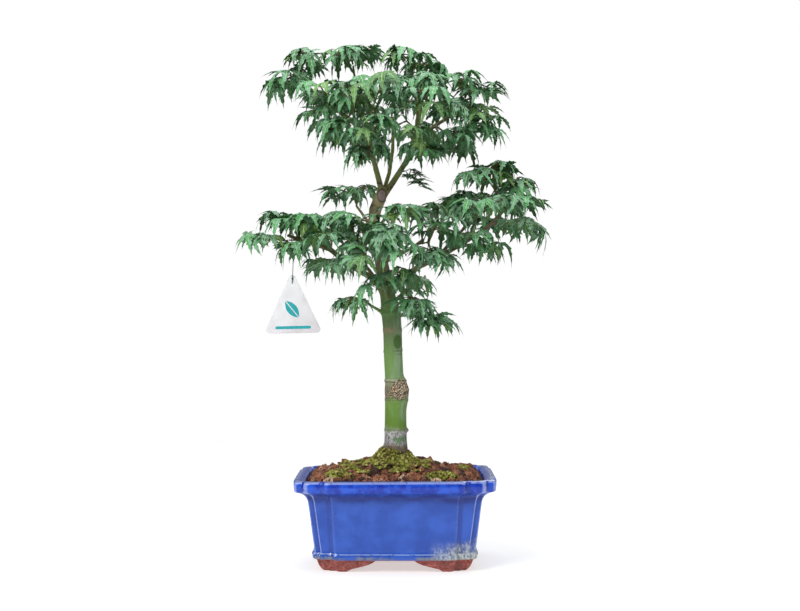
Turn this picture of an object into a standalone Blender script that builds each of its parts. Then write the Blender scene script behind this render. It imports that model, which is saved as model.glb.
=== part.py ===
"""Japanese maple bonsai in a blue glazed pot with notched corners.

Metres, +Z up. The origin is on the ground under the middle of the pot, +X runs along the pot's long side
and -Y is the front that the tree is shown from.
"""
import math
import random

import bmesh
import bpy
from mathutils import Matrix, Vector
from mathutils.bvhtree import BVHTree

MM = 0.001
CLEARANCE = 0.3 * MM            # gap between touching pieces

# ---- pot ----------------------------------------------------------------------------------------
RIM_HALF_LENGTH = 81.6 * MM
RIM_HALF_DEPTH = 62.0 * MM
POT_HEIGHT = 74.4 * MM
RIM_HEIGHT = 9.0 * MM           # upright band of the rim
RIM_WIDTH = 9.5 * MM            # flat top of the rim, outside to inside
RIM_OVERHANG = 11.1 * MM        # how far the rim stands out over the wall below it
BODY_TAPER = 4.5 * MM           # how far the wall runs in from under the rim to the base band
WALL = 6.0 * MM
FOOT_HEIGHT = 10.0 * MM
FOOT_INSET = 22.6 * MM          # rim to the foot's outer edge on the ground
FOOT_WIDTH = 10.0 * MM
UNDERSIDE_HEIGHT = 11.0 * MM
FLOOR_THICKNESS = 5.0 * MM
FRONT_PANEL_HALF = 55.5 * MM    # raised middle panel of the long side, at the rim
SIDE_PANEL_HALF = 34.0 * MM     # and of the short side
PANEL_STEP = 4.0 * MM           # how far the middle panel stands out
RIM_NOTCH = 9.6 * MM            # square notch in each corner, at the rim
BODY_NOTCH = 6.2 * MM           # and on the wall
FRONT_GAP_HALF = 15.5 * MM      # flat top of the gap between the front feet
SIDE_GAP_HALF = 10.0 * MM
DRAIN_RADIUS = 7.0 * MM
DRAIN_OFFSET = 33.0 * MM        # drain holes sit at +-X

SCREEN_SIZE = 27.0 * MM
SCREEN_THICKNESS = 0.9 * MM
SCREEN_CELL = 5.0 * MM
SCREEN_BAR = 2.0 * MM
CLIP_RADIUS = 0.6 * MM

# ---- soil and moss ------------------------------------------------------------------------------
SOIL_BELOW_RIM = 2.0 * MM       # soil level at the rim
SOIL_RISE = 12.0 * MM           # height of the mound round the trunk above that
MOUND_RADIUS = 27.0 * MM
MOUND_HEIGHT = 10.0 * MM        # moss on the soil's crown
MOSS_PATCHES = (                # x, y, half length, half depth, half height
    (-45.0, -36.0, 13.0, 9.0, 4.6),
    (37.0, -38.0, 14.0, 8.0, 5.0),
    (55.0, 12.0, 9.0, 12.0, 4.4),
    (-34.0, 34.0, 15.0, 9.0, 4.6),
)

# ---- tree ---------------------------------------------------------------------------------------
TREE_SCALE = 1.0                # the whole tree above the soil
TRUNK_SIDES = 12
TRUNK_GIRTH = 1.0
ROOT_DEPTH = 26.0 * MM          # how far the root flare goes down into the soil
ROOT_RADIUS = 20.0 * MM

LEAF_LENGTH = 22.5 * MM         # leaf base to the tip of the middle lobe
LEAF_THICKNESS = 1.0 * MM       # at the leaf's base
LEAF_DROOP = math.radians(40)
PETIOLE_LENGTH = 10.5 * MM
PETIOLE_WIDTH = 1.3 * MM
LEAF_GAP = 0.35 * MM            # least gap between leaves of different sprays
TWIG_RADIUS = 0.95 * MM
BRANCHLET_RADIUS = 1.35 * MM

# ---- tag ----------------------------------------------------------------------------------------
TAG_WIDTH = 48.0 * MM            # before its corners are rounded
TAG_HEIGHT = 51.0 * MM
TAG_THICKNESS = 0.8 * MM
TAG_CORNER = 3.0 * MM
TAG_HOLE_RADIUS = 1.3 * MM
THREAD_RADIUS = 0.3 * MM

# The tables below are in millimetres, and their heights count from a datum under the crown of the soil.
TREE_DATUM = 80.0 * MM

# Trunk: height, offset in X, radius.
TRUNK = (
    (84.7, 0.3, 10.7),
    (97.0, 0.4, 9.6),
    (121.8, 0.4, 9.2),
    (132.0, 1.2, 9.9),
    (138.3, 1.4, 10.4),
    (145.0, 0.2, 8.9),
    (150.7, -0.8, 7.9),
    (171.3, -1.8, 7.9),
    (187.8, -2.2, 8.1),
    (202.6, -3.4, 8.3),
    (215.0, -5.9, 6.6),
    (249.7, -12.5, 5.5),
    (276.9, -17.5, 5.0),
    (286.8, -16.6, 5.3),
    (296.7, -12.5, 5.4),
    (301.5, -10.5, 4.6),
)

# Limbs: radius at both ends, then the route.
LIMBS = {
    "crown_left": (3.0, 1.7, ((-10, 0, 298), (-14, -1, 314), (-17, -2, 325), (-21, -4, 345),
                              (-29, -6, 372), (-33, -5, 394))),
    "crown_far_left": (2.1, 1.4, ((-20, -4, 342), (-38, -6, 362), (-57, -4, 376), (-71, 0, 388))),
    "crown_right": (3.2, 1.7, ((-11, 0, 296), (-1, 1, 311), (8.5, 2, 326), (16.5, 2, 345),
                               (21, 0, 370), (14, 2, 392))),
    "crown_far_right": (2.2, 1.4, ((16, 2, 343), (33, 2, 357), (50, 0, 367), (63, 0, 373))),
    "crown_back": (2.2, 1.4, ((-11, 1, 298), (-5, 9, 318), (-2, 22, 340), (-2, 40, 360), (-1, 54, 371))),
    "crown_front_left": (2.0, 1.4, ((-17, -2, 326), (-19, -20, 345), (-17, -38, 358), (-14, -52, 366))),
    "crown_front_right": (2.0, 1.4, ((13, 2, 337), (17, -18, 351), (18, -36, 360), (17, -50, 366))),
    "right": (3.4, 1.7, ((-6, 0, 220), (8, -3, 232), (21, -5, 241), (35, -7, 247), (60, -8, 262),
                         (78, -5, 274), (91, 0, 288))),
    "right_back": (2.1, 1.4, ((34, -7, 246.5), (46, 10, 260), (57, 26, 272), (66, 34, 281))),
    "left": (3.4, 1.6, ((-4, 0, 208), (-16, -3, 229), (-40, -6, 243), (-53, -8, 254), (-64, -8, 258),
                        (-78, -6, 262), (-89, -5, 266))),
    "left_back": (2.1, 1.4, ((-15, -2, 228), (-26, 16, 243), (-38, 30, 256))),
    "front": (2.6, 1.5, ((-9, -2, 232), (-7, -24, 245), (-2, -44, 257), (2, -56, 264))),
    "front_right": (1.9, 1.4, ((-7, -22, 244), (10, -36, 252), (22, -46, 260))),
    "front_left": (1.9, 1.4, ((-7.5, -20, 243), (-16, -34, 252), (-23, -44, 262))),
    "upper_left": (1.9, 1.3, ((-15, 0, 262), (-24, -4, 279), (-32, -6, 290))),
    "low_right": (2.0, 1.4, ((-3, 0, 199), (8, -5, 200), (17, -8, 199))),
    "low_left": (1.9, 1.3, ((-3, 0, 197), (-15, -3, 205), (-25, -8, 211))),
    "low_front": (2.0, 1.3, ((-6, -1, 212), (-8, -18, 221), (-10, -30, 226))),
    "low_front_right": (1.7, 1.2, ((-4, -1, 206), (5, -14, 211), (10, -22, 213))),
    "low_back": (2.0, 1.3, ((-4, 1, 206), (5, 16, 217), (11, 27, 223))),
}

# Leafy sprays: the limb that each grows on, then the tips of its twigs.
SPRAYS = {
    "crown": (
        ("crown_far_left", ((-71, -5, 419), (-92, 3, 393))),
        ("crown_far_left", ((-60, -34, 384), (-63, -14, 364))),
        ("crown_far_left", ((-62, 34, 388), (-54, 42, 360))),
        ("crown_left", ((-46, -18, 412), (-27, 8, 420))),
        ("crown_left", ((-46, -28, 378), (-30, -27, 388))),
        ("crown_left", ((-42, 17, 352),)),
        ("crown_front_left", ((-36, -60, 379), (-46, -34, 347))),
        ("crown_front_left", ((-8, -72, 382), (-30, -54, 341))),
        ("crown_front_left", ((-12, -66, 352), (-21, -44, 325))),
        ("crown_right", ((4, -14, 414), (27, 13, 409))),
        ("crown_right", ((0, 36, 404), (23, 35, 396))),
        ("crown_right", ((25, -31, 393),)),
        ("crown_front_right", ((20, -66, 376), (42, -52, 362))),
        ("crown_front_right", ((9, -62, 346), (20, -42, 328))),
        ("crown_far_right", ((47, -16, 395), (71, 4, 386))),
        ("crown_far_right", ((48, -34, 344), (50, 0, 336))),
        ("crown_far_right", ((71, -16, 362), (76, 14, 352))),
        ("crown_far_right", ((46, 46, 380), (70, 30, 374))),
        ("crown_back", ((-32, 62, 384), (-24, 54, 352))),
        ("crown_back", ((8, 73, 388), (24, 62, 354))),
    ),
    "right": (
        ("right", ((80, -5, 324), (60, -28, 313))),
        ("right", ((101, 10, 313), (112, -5, 294))),
        ("right", ((85, -48, 291), (56, -50, 289))),
        ("right", ((99, -28, 275), (107, 14, 274))),
        ("right", ((78, -26, 256), (60, -44, 264))),
        ("right_back", ((92, 38, 304), (60, 48, 288))),
        ("right_back", ((46, 10, 300), (86, 28, 274))),
        ("right", ((44, -24, 251),)),
    ),
    "centre": (
        ("front_right", ((6, -54, 284), (24, -26, 288))),
        ("front_right", ((34, -64, 272), (30, -50, 243))),
        ("front", ((-7, -74, 266), (9, -71, 246))),
        ("front_left", ((-27, -54, 277), (-22, -64, 244))),
    ),
    "left": (
        ("left", ((-42, -36, 281), (-54, -52, 261))),
        ("left", ((-68, -22, 278), (-96, -2, 281))),
        ("left", ((-113, -2, 264), (-80, -28, 254))),
        ("left", ((-50, -30, 241), (-62, 2, 240))),
        ("upper_left", ((-41, -10, 301), (-24, 12, 306))),
        ("left_back", ((-60, 38, 272), (-26, 48, 264))),
    ),
    "low": (
        ("low_front", ((-13, -46, 228), (6, -44, 236))),
        ("low_front_right", ((16, -32, 214),)),
        ("low_left", ((-35, -13, 215),)),
        ("low_right", ((32, -12, 200),)),
        ("low_back", ((16, 38, 229),)),
    ),
}

# Leaves of a twig: how far along its outer half, the turn from the twig's heading in degrees, and a small
# step along the twig that keeps the two stalks of a pair apart.
LEAF_NODES = ((0.1, 105, 0.5), (0.1, -105, -0.5), (0.6, 55, 0.5), (0.6, -55, -0.5), (0.95, 0, 0))
# Lobes of a leaf: angle from the middle lobe in degrees, length as a share of LEAF_LENGTH.
LOBES = ((-104, 0.70), (-52, 0.92), (0, 1.0), (52, 0.92), (104, 0.70))
NOTCH_DEPTH = 0.27              # where two lobes part, as a share of LEAF_LENGTH
# Rise and sway of a twig's middle, tried in turn until it meets nothing.
TWIG_BENDS = ((0.07, 0), (0.12, 0.08), (0.12, -0.08), (0.2, 0), (0, 0.12), (0, -0.12), (-0.08, 0),
              (0.22, 0.2), (0.22, -0.2), (-0.15, 0.15), (-0.15, -0.15), (0.1, 0.35), (0.1, -0.35))
LEAF_TRIES = 18

# Thread, from the middle of its loop round the limb: sideways, towards the front and down.
THREAD_FALL = ((0.3, 0.2, 6.5), (0.7, 0.5, 16), (0.6, 0.9, 26))
TAG_DROP = 39.0 * MM            # from the loop to the hole of the tag


# ---- building tools -----------------------------------------------------------------------------
def clear_scene():
    for obj in list(bpy.data.objects):
        bpy.data.objects.remove(obj, do_unlink=True)


def material(name, colour, roughness, metallic=0.0):
    made = bpy.data.materials.new(name)
    made.use_nodes = True
    shader = made.node_tree.nodes["Principled BSDF"]
    shader.inputs["Base Color"].default_value = (*colour, 1.0)
    shader.inputs["Roughness"].default_value = roughness
    shader.inputs["Metallic"].default_value = metallic
    return made


def add_object(name, shells, finish=None, smooth=True):
    """One mesh object from a list of closed shells, each a pair of vertices and faces."""
    vertices, faces = [], []
    for shell_vertices, shell_faces in shells:
        start = len(vertices)
        vertices += shell_vertices
        faces += [tuple(start + index for index in face) for face in shell_faces]
    mesh = bpy.data.meshes.new(name)
    mesh.from_pydata([tuple(point) for point in vertices], [], faces)
    obj = bpy.data.objects.new(name, mesh)
    bpy.context.scene.collection.objects.link(obj)
    if finish:
        mesh.materials.append(finish)
    if smooth:
        mesh.shade_smooth()
        mesh.set_sharp_from_angle(angle=math.radians(35))
    return obj


def helper(name, shells):
    obj = add_object(name, shells, smooth=False)
    obj.hide_render = True
    obj.display_type = "WIRE"
    return obj


def boolean(target, other, operation):
    modifier = target.modifiers.new(other.name, "BOOLEAN")
    modifier.operation = operation
    modifier.object = other
    modifier.use_self = operation == "UNION"


def loft(rings):
    """Closed shell through rings of equal count, listed bottom to top with points anticlockwise."""
    count = len(rings[0])
    vertices = [point for ring in rings for point in ring]
    faces = [tuple(reversed(range(count)))]
    for level in range(len(rings) - 1):
        low = level * count
        for index in range(count):
            following = (index + 1) % count
            faces.append((low + index, low + following, low + count + following, low + count + index))
    top = (len(rings) - 1) * count
    faces.append(tuple(range(top, top + count)))
    return vertices, faces


def circle(centre, radius, sides, right=Vector((1, 0, 0)), up=Vector((0, 1, 0))):
    turns = [2 * math.pi * index / sides for index in range(sides)]
    return [centre + radius * (math.cos(turn) * right + math.sin(turn) * up) for turn in turns]


def tube(points, radii, sides):
    """Round bar through the points, its section carried along without twisting."""
    rings = []
    right = None
    for index, point in enumerate(points):
        before = points[max(index - 1, 0)]
        after = points[min(index + 1, len(points) - 1)]
        along = (after - before).normalized()
        if right is None:
            right = along.orthogonal().normalized()
        right = (right - along * right.dot(along)).normalized()
        rings.append(circle(point, radii[index], sides, right, along.cross(right)))
    return loft(rings)


def box(low, high):
    corners = [Vector((x, y, low[2])) for x, y in
               ((low[0], low[1]), (high[0], low[1]), (high[0], high[1]), (low[0], high[1]))]
    lift = Vector((0, 0, high[2] - low[2]))
    return loft([corners, [corner + lift for corner in corners]])


def smooth_route(points, steps):
    """Points of a Catmull-Rom curve through the given ones, with steps along each stretch."""
    ends = [2 * points[0] - points[1], *points, 2 * points[-1] - points[-2]]
    route = []
    for index in range(1, len(ends) - 2):
        a, b, c, d = ends[index - 1:index + 3]
        for step in range(steps):
            t = step / steps
            route.append(0.5 * (2 * b + (c - a) * t + (2 * a - 5 * b + 4 * c - d) * t ** 2
                                + (3 * b - a - 3 * c + d) * t ** 3))
    return [*route, points[-1]]


# ---- pot ----------------------------------------------------------------------------------------
def pot_section(height, inset, notch, step=PANEL_STEP, panel_share=0.4):
    """Outline with a raised middle panel on each side and a square notch at each corner."""
    half_x, half_y = RIM_HALF_LENGTH - inset, RIM_HALF_DEPTH - inset
    panel_x = FRONT_PANEL_HALF - panel_share * inset
    panel_y = SIDE_PANEL_HALF - panel_share * inset
    corner = (
        (panel_x, half_y), (panel_x, half_y - step), (half_x - notch, half_y - step),
        (half_x - notch, half_y - notch), (half_x - step, half_y - notch), (half_x - step, panel_y),
        (half_x, panel_y),
    )
    outline = [(x, -y) for x, y in corner]
    outline += [(x, y) for x, y in reversed(corner)]
    outline += [(-x, y) for x, y in corner]
    outline += [(-x, -y) for x, y in reversed(corner)]
    return [Vector((x, y, height)) for x, y in outline]


def pot_outside():
    """Sections of the outer face from the ground to the rim."""
    body_low = FOOT_HEIGHT + 11 * MM
    rim_low = POT_HEIGHT - RIM_HEIGHT
    body_high = rim_low - 9 * MM
    body_inset = RIM_OVERHANG + BODY_TAPER
    sections = [
        pot_section(0, FOOT_INSET, BODY_NOTCH),
        pot_section(0.25 * FOOT_HEIGHT, FOOT_INSET - 1.9 * MM, BODY_NOTCH),
        pot_section(0.6 * FOOT_HEIGHT, FOOT_INSET - 3.8 * MM, BODY_NOTCH),
        pot_section(FOOT_HEIGHT, body_inset + 2.0 * MM, BODY_NOTCH),
        pot_section(FOOT_HEIGHT + 0.7 * MM, body_inset, BODY_NOTCH),
        pot_section(FOOT_HEIGHT + 2.4 * MM, body_inset - 1.1 * MM, BODY_NOTCH),
        pot_section(FOOT_HEIGHT + 4.4 * MM, body_inset - 0.5 * MM, BODY_NOTCH),
        pot_section(FOOT_HEIGHT + 5.6 * MM, body_inset + 0.3 * MM, BODY_NOTCH),
        pot_section(body_low, body_inset, BODY_NOTCH),
        pot_section(0.5 * (body_low + body_high), RIM_OVERHANG + 0.5 * BODY_TAPER, BODY_NOTCH),
        pot_section(body_high, RIM_OVERHANG, BODY_NOTCH),
    ]
    for step in range(1, 5):
        turn = 0.5 * math.pi * step / 4
        share = 1 - math.cos(turn)
        sections.append(pot_section(
            body_high + (rim_low - body_high) * math.sin(turn), RIM_OVERHANG * (1 - 0.94 * share),
            BODY_NOTCH + (RIM_NOTCH - BODY_NOTCH) * share))
    sections += [
        pot_section(rim_low + 0.6 * MM, 0, RIM_NOTCH),
        pot_section(POT_HEIGHT - 0.8 * MM, 0, RIM_NOTCH),
        pot_section(POT_HEIGHT, 0.8 * MM, RIM_NOTCH),
    ]
    return sections


def pot_inside(gap=0.0):
    """Sections of the inner face from the floor to the rim, moved inwards by a gap."""
    low = UNDERSIDE_HEIGHT + FLOOR_THICKNESS
    high = POT_HEIGHT - RIM_HEIGHT - 9 * MM
    under_rim = RIM_OVERHANG + WALL
    return [
        pot_section(low + gap, under_rim + BODY_TAPER + gap, 4 * MM, 2 * MM),
        pot_section(high, under_rim + gap, 4 * MM, 2 * MM),
        pot_section(POT_HEIGHT - 0.5 * RIM_HEIGHT, RIM_WIDTH + 1.2 * MM + gap, 5 * MM, 2 * MM),
        pot_section(POT_HEIGHT - 0.8 * MM, RIM_WIDTH + gap, 5 * MM, 2 * MM),
        pot_section(POT_HEIGHT, RIM_WIDTH - 0.6 * MM + gap, 5 * MM, 2 * MM),
    ]


def foot_gap_shell(flat_half, foot_half, reach, across):
    """Bracket-shaped gap between two feet, run right through under the pot along `across`."""
    top = FOOT_HEIGHT - 0.4 * MM
    slope = foot_half - flat_half
    half = ((flat_half, top), (flat_half + 0.22 * slope, 0.5 * top), (foot_half, 0.7 * MM),
            (foot_half + 0.06 * slope, -1 * MM))
    outline = [*half[::-1], *[(-place, height) for place, height in half]]
    if across == "Y":
        rings = [[Vector((x, y, z)) for x, z in outline] for y in (reach, -reach)]
    else:
        rings = [[Vector((x, y, z)) for y, z in outline] for x in (-reach, reach)]
    return loft(rings)


def build_pot(finish):
    outside, inside = pot_outside(), pot_inside()
    pot = add_object("pot", [loft([*outside, *inside[::-1]])], finish)
    foot_half_x, foot_half_y = RIM_HALF_LENGTH - FOOT_INSET, RIM_HALF_DEPTH - FOOT_INSET
    recess_x, recess_y = foot_half_x - FOOT_WIDTH, foot_half_y - FOOT_WIDTH
    recess = helper("underside_recess", [box((-recess_x, -recess_y, -MM), (recess_x, recess_y, UNDERSIDE_HEIGHT))])
    front_gap = helper("front_foot_gap", [foot_gap_shell(FRONT_GAP_HALF, 0.64 * foot_half_x,
                                                         RIM_HALF_DEPTH + 5 * MM, "Y")])
    side_gap = helper("side_foot_gap", [foot_gap_shell(SIDE_GAP_HALF, 0.64 * foot_half_y,
                                                       RIM_HALF_LENGTH + 5 * MM, "X")])
    cutters = [recess, front_gap, side_gap]
    for side in (-1, 1):
        low = Vector((side * DRAIN_OFFSET, 0, UNDERSIDE_HEIGHT - MM))
        high = Vector((side * DRAIN_OFFSET, 0, UNDERSIDE_HEIGHT + FLOOR_THICKNESS + MM))
        cutters.append(helper(f"drain_hole_{side}", [loft([circle(low, DRAIN_RADIUS, 16),
                                                           circle(high, DRAIN_RADIUS, 16)])]))
    for cutter in cutters:
        boolean(pot, cutter, "DIFFERENCE")


def build_drain_screens(finish, wire_finish):
    """Plastic mesh over each drain hole, held by a wire staple bent out under the floor."""
    floor = UNDERSIDE_HEIGHT + FLOOR_THICKNESS
    low, high = floor + CLEARANCE, floor + CLEARANCE + SCREEN_THICKNESS
    half = 0.5 * SCREEN_SIZE
    pitch = SCREEN_CELL + SCREEN_BAR
    leg = pitch
    for side, word in ((-1, "left"), (1, "right")):
        centre = side * DRAIN_OFFSET
        screen = add_object(f"drain_screen_{word}", [box((centre - half, -half, low), (centre + half, half, high))],
                            finish)
        cells = []
        for column in (-1, 0, 1):
            for row in (-1, 0, 1):
                x, y = centre + column * pitch, row * pitch
                reach = 0.5 * SCREEN_CELL
                cells.append(box((x - reach, y - reach, low - MM), (x + reach, y + reach, high + MM)))
        boolean(screen, helper(f"screen_cells_{word}", cells), "DIFFERENCE")
        top = high + CLEARANCE + CLIP_RADIUS
        under = UNDERSIDE_HEIGHT - CLEARANCE - CLIP_RADIUS
        leg_x = min(leg, DRAIN_RADIUS - 2 * CLIP_RADIUS)
        foot_x = DRAIN_RADIUS + 4 * MM
        half_route = ((foot_x, under), (leg_x + MM, under), (leg_x, under + MM), (leg_x, top - MM), (leg_x - MM, top))
        route = [Vector((centre + x, 0, z)) for x, z in half_route]
        route += [Vector((centre - x, 0, z)) for x, z in reversed(half_route)]
        add_object(f"screen_clip_{word}", [tube(route, [CLIP_RADIUS] * len(route), 6)], wire_finish)


# ---- soil and moss ------------------------------------------------------------------------------
def soil_crown():
    return Vector((0, 0, POT_HEIGHT - SOIL_BELOW_RIM + SOIL_RISE))


def grown(place):
    """World place of a point of the tree's tables. TREE_SCALE grows the tree from the crown of the soil."""
    return soil_crown() + (Vector(place) * MM - Vector((0, 0, TREE_DATUM))) * TREE_SCALE


def trunk_points():
    """Centres and radii of the trunk, from the buried root flare up to the first fork of the crown."""
    centres = [soil_crown() - Vector((0, 0, depth)) for depth in (ROOT_DEPTH, 0.45 * ROOT_DEPTH, 2 * MM)]
    radii = [ROOT_RADIUS, 0.92 * ROOT_RADIUS, 0.78 * ROOT_RADIUS]
    for height, offset, radius in TRUNK:
        centres.append(grown((offset, 0, height)))
        radii.append(radius * MM * TRUNK_GIRTH)
    return centres, radii


def build_soil(finish, moss_finish):
    """Soil that fills the pot and mounds round the trunk, with moss bedded in it."""
    edge = pot_inside(CLEARANCE)
    edge_height = POT_HEIGHT - SOIL_BELOW_RIM
    sections = [edge[0], edge[1], edge[2]]
    sections.append([Vector((point.x, point.y, edge_height)) for point in edge[2]])
    crown = edge_height + SOIL_RISE
    for share, rise in ((0.72, 0.22), (0.48, 0.55), (0.30, 0.88), (0.18, 1.0)):
        ring = []
        for point in edge[2]:
            flat = Vector((point.x, point.y, 0))
            round_place = flat.normalized() * RIM_HALF_DEPTH
            blended = flat.lerp(round_place, 1 - share)
            ring.append(Vector((blended.x * share, blended.y * share, edge_height + rise * SOIL_RISE)))
        sections.append(ring)
    soil = add_object("soil", [loft(sections)], finish)

    floor = UNDERSIDE_HEIGHT + FLOOR_THICKNESS
    reach = 0.5 * SCREEN_SIZE + CLEARANCE
    pocket_top = floor + SCREEN_THICKNESS + 2 * CLIP_RADIUS + 3 * CLEARANCE
    pockets = [box((side * DRAIN_OFFSET - reach, -reach, floor - MM), (side * DRAIN_OFFSET + reach, reach, pocket_top))
               for side in (-1, 1)]
    centres, radii = trunk_points()
    clear_radii = [radius + 1.1 * CLEARANCE for radius in radii]
    centres[0] = centres[0] - Vector((0, 0, CLEARANCE))
    socket = helper("root_socket", [tube(centres[:6], clear_radii[:6], TRUNK_SIDES)])

    half = 0.5 * MOUND_HEIGHT
    mound_rings = ((0.86, -half), (1.0, -0.2 * half), (0.97, 0.3 * half), (0.80, half), (0.58, 1.5 * half),
                   (0.44, 2 * half))
    mound = add_object("moss_mound", [mound_shell(crown, mound_rings, 0)], moss_finish)
    boolean(mound, socket, "DIFFERENCE")
    mound_bed = helper("moss_mound_bed", [mound_shell(crown, mound_rings, CLEARANCE)])
    cutters = [helper("screen_pockets", pockets), socket, mound_bed]
    for index, (x, y, length, depth, height) in enumerate(MOSS_PATCHES, 1):
        level = soil_height(Vector((x, y, 0)) * MM)
        centre = Vector((x * MM, y * MM, level))
        add_object(f"moss_patch_{index}", [pad_shell(centre, (length, depth, height), 0)], moss_finish)
        cutters.append(helper(f"moss_bed_{index}", [pad_shell(centre, (length, depth, height), CLEARANCE)]))
    for cutter in cutters:
        boolean(soil, cutter, "DIFFERENCE")


def soil_height(place):
    """Rough height of the soil at a place, from the rim up to the crown of the mound."""
    far = max(abs(place.x) / (RIM_HALF_LENGTH - RIM_WIDTH), abs(place.y) / (RIM_HALF_DEPTH - RIM_WIDTH))
    rise = min(1.0, max(0.0, 1.25 * (1 - far)))
    return POT_HEIGHT - SOIL_BELOW_RIM + SOIL_RISE * rise * rise


def mound_shell(crown, rings, gap):
    sections = []
    for share, height in rings:
        lift = -gap if height < 0 else gap
        sections.append(circle(Vector((0, 0, crown + height + lift)), MOUND_RADIUS * share + 1.2 * gap, 18))
    return loft(sections)


def pad_shell(centre, halves, gap):
    """Low cushion: an ellipsoid of 12 by 4 faces."""
    sections = []
    for tilt in (-60, -25, 10, 40, 70):
        lean = math.radians(tilt)
        ring = []
        for turn in range(12):
            angle = 2 * math.pi * turn / 12
            reach = Vector((math.cos(angle) * math.cos(lean), math.sin(angle) * math.cos(lean), math.sin(lean)))
            ring.append(centre + Vector([(half * MM + 1.3 * gap) * part for half, part in zip(halves, reach)]))
        sections.append(ring)
    return loft(sections)


# ---- wood ---------------------------------------------------------------------------------------
def limb_route(name):
    thick, thin, places = LIMBS[name]
    points = smooth_route([grown(place) for place in places], 1 if len(places) > 3 else 2)
    radii = [(thick + (thin - thick) * index / (len(points) - 1)) * MM for index in range(len(points))]
    return points, radii


def bent(start, bend, end, share):
    """Point at a share of the way along a curve that is pulled towards `bend`."""
    return start.lerp(bend, share).lerp(bend.lerp(end, share), share)


def plan_sprays():
    """For each spray: its name, the branchlet that carries it, where its twigs part and their tips."""
    plans = []
    bearing = set()
    for pad, sprays in SPRAYS.items():
        for number, (limb, tips) in enumerate(sprays, 1):
            points, radii = limb_route(limb)
            goals = [grown(tip) for tip in tips]
            middle = sum(goals, Vector()) / len(goals)
            nearest = min(range(len(points)), key=lambda index: (points[index] - middle).length)
            index = max(nearest - 1, 1) if limb in bearing else nearest
            bearing.add(limb)
            root = points[index]
            bend = root.lerp(middle, 0.5) + Vector((0, 0, 0.08 * (middle - root).length))
            plans.append({
                "name": f"spray_{pad}_{number:02d}",
                "branchlet": [root, bent(root, bend, middle, 0.25), bent(root, bend, middle, 0.5)],
                "root_radius": min(0.9 * radii[index], 1.2 * BRANCHLET_RADIUS),
                "fork": bent(root, bend, middle, 0.65),
                "tips": goals,
            })
    return plans


def build_wood(plans, finish):
    """Trunk, limbs and branchlets, grown together as one piece of wood. Returns search trees of its parts."""
    centres, radii = trunk_points()
    trunk_shell = tube(centres, radii, TRUNK_SIDES)
    limbs = []
    for name in LIMBS:
        points, limb_radii = limb_route(name)
        limbs.append(tube(points, limb_radii, 5))
    branchlets = []
    for plan in plans:
        thickness = [plan["root_radius"], BRANCHLET_RADIUS, 0.9 * BRANCHLET_RADIUS]
        branchlets.append(tube(plan["branchlet"], thickness, 4))
    wood = add_object("trunk_and_branches", [trunk_shell], finish)
    boolean(wood, helper("branch_shells", [*limbs, *branchlets]), "UNION")
    return [search_tree(shell, LEAF_GAP) for shell in (trunk_shell, *limbs)], \
        [search_tree(shell, LEAF_GAP) for shell in branchlets]


def search_tree(shell, gap=0.0):
    """Search tree over a shell grown outwards by a gap, with its middle and its reach."""
    vertices, faces = shell
    middle = sum(vertices, Vector()) / len(vertices)
    if gap:
        mesh = bmesh.new()
        corners = [mesh.verts.new(point) for point in vertices]
        for face in faces:
            mesh.faces.new([corners[index] for index in face])
        mesh.normal_update()
        vertices = [corner.co + corner.normal * gap for corner in mesh.verts]
        mesh.free()
    reach = max((point - middle).length for point in vertices)
    return BVHTree.FromPolygons(vertices, faces), middle, reach


def is_clear(shell, others):
    tree, middle, reach = search_tree(shell)
    for other_tree, other_middle, other_reach in others:
        if (middle - other_middle).length < reach + other_reach and tree.overlap(other_tree):
            return False
    return True


# ---- leafy sprays -------------------------------------------------------------------------------
def twig_routes(plan, rise, sway):
    """Route of each twig of a spray, the first one with the spray's stem before it."""
    start, fork = plan["branchlet"][-1], plan["fork"]
    first = start + (fork - start).normalized() * CLEARANCE
    routes = []
    for tip in plan["tips"]:
        span = tip - fork
        aside = Vector((-span.y, span.x, 0)).normalized()
        middle = fork.lerp(tip, 0.5) + (Vector((0, 0, rise)) + aside * sway) * span.length
        routes.append([fork, middle, tip])
    routes[0].insert(0, first)
    return routes


def twig_shells(routes):
    radii = [0.9 * BRANCHLET_RADIUS, 1.1 * TWIG_RADIUS, TWIG_RADIUS, 0.8 * TWIG_RADIUS]
    return [tube(route, radii[-len(route):], 4) for route in routes]


def place_twigs(plans, limb_trees, branchlet_trees, obstacles):
    """Gives each spray the first bend of its twigs that meets neither the wood nor other twigs."""
    twig_trees = []
    for index, plan in enumerate(plans):
        others = [*limb_trees, *branchlet_trees[:index], *branchlet_trees[index + 1:], *obstacles]
        others += [tree for trees in twig_trees for tree in trees]
        for rise, sway in TWIG_BENDS:
            routes = twig_routes(plan, rise, sway)
            shells = twig_shells(routes)
            if all(is_clear(shell, others) for shell in shells):
                break
        plan["routes"], plan["shells"] = routes, shells
        twig_trees.append([search_tree(shell, LEAF_GAP) for shell in shells])
    return twig_trees


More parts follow.
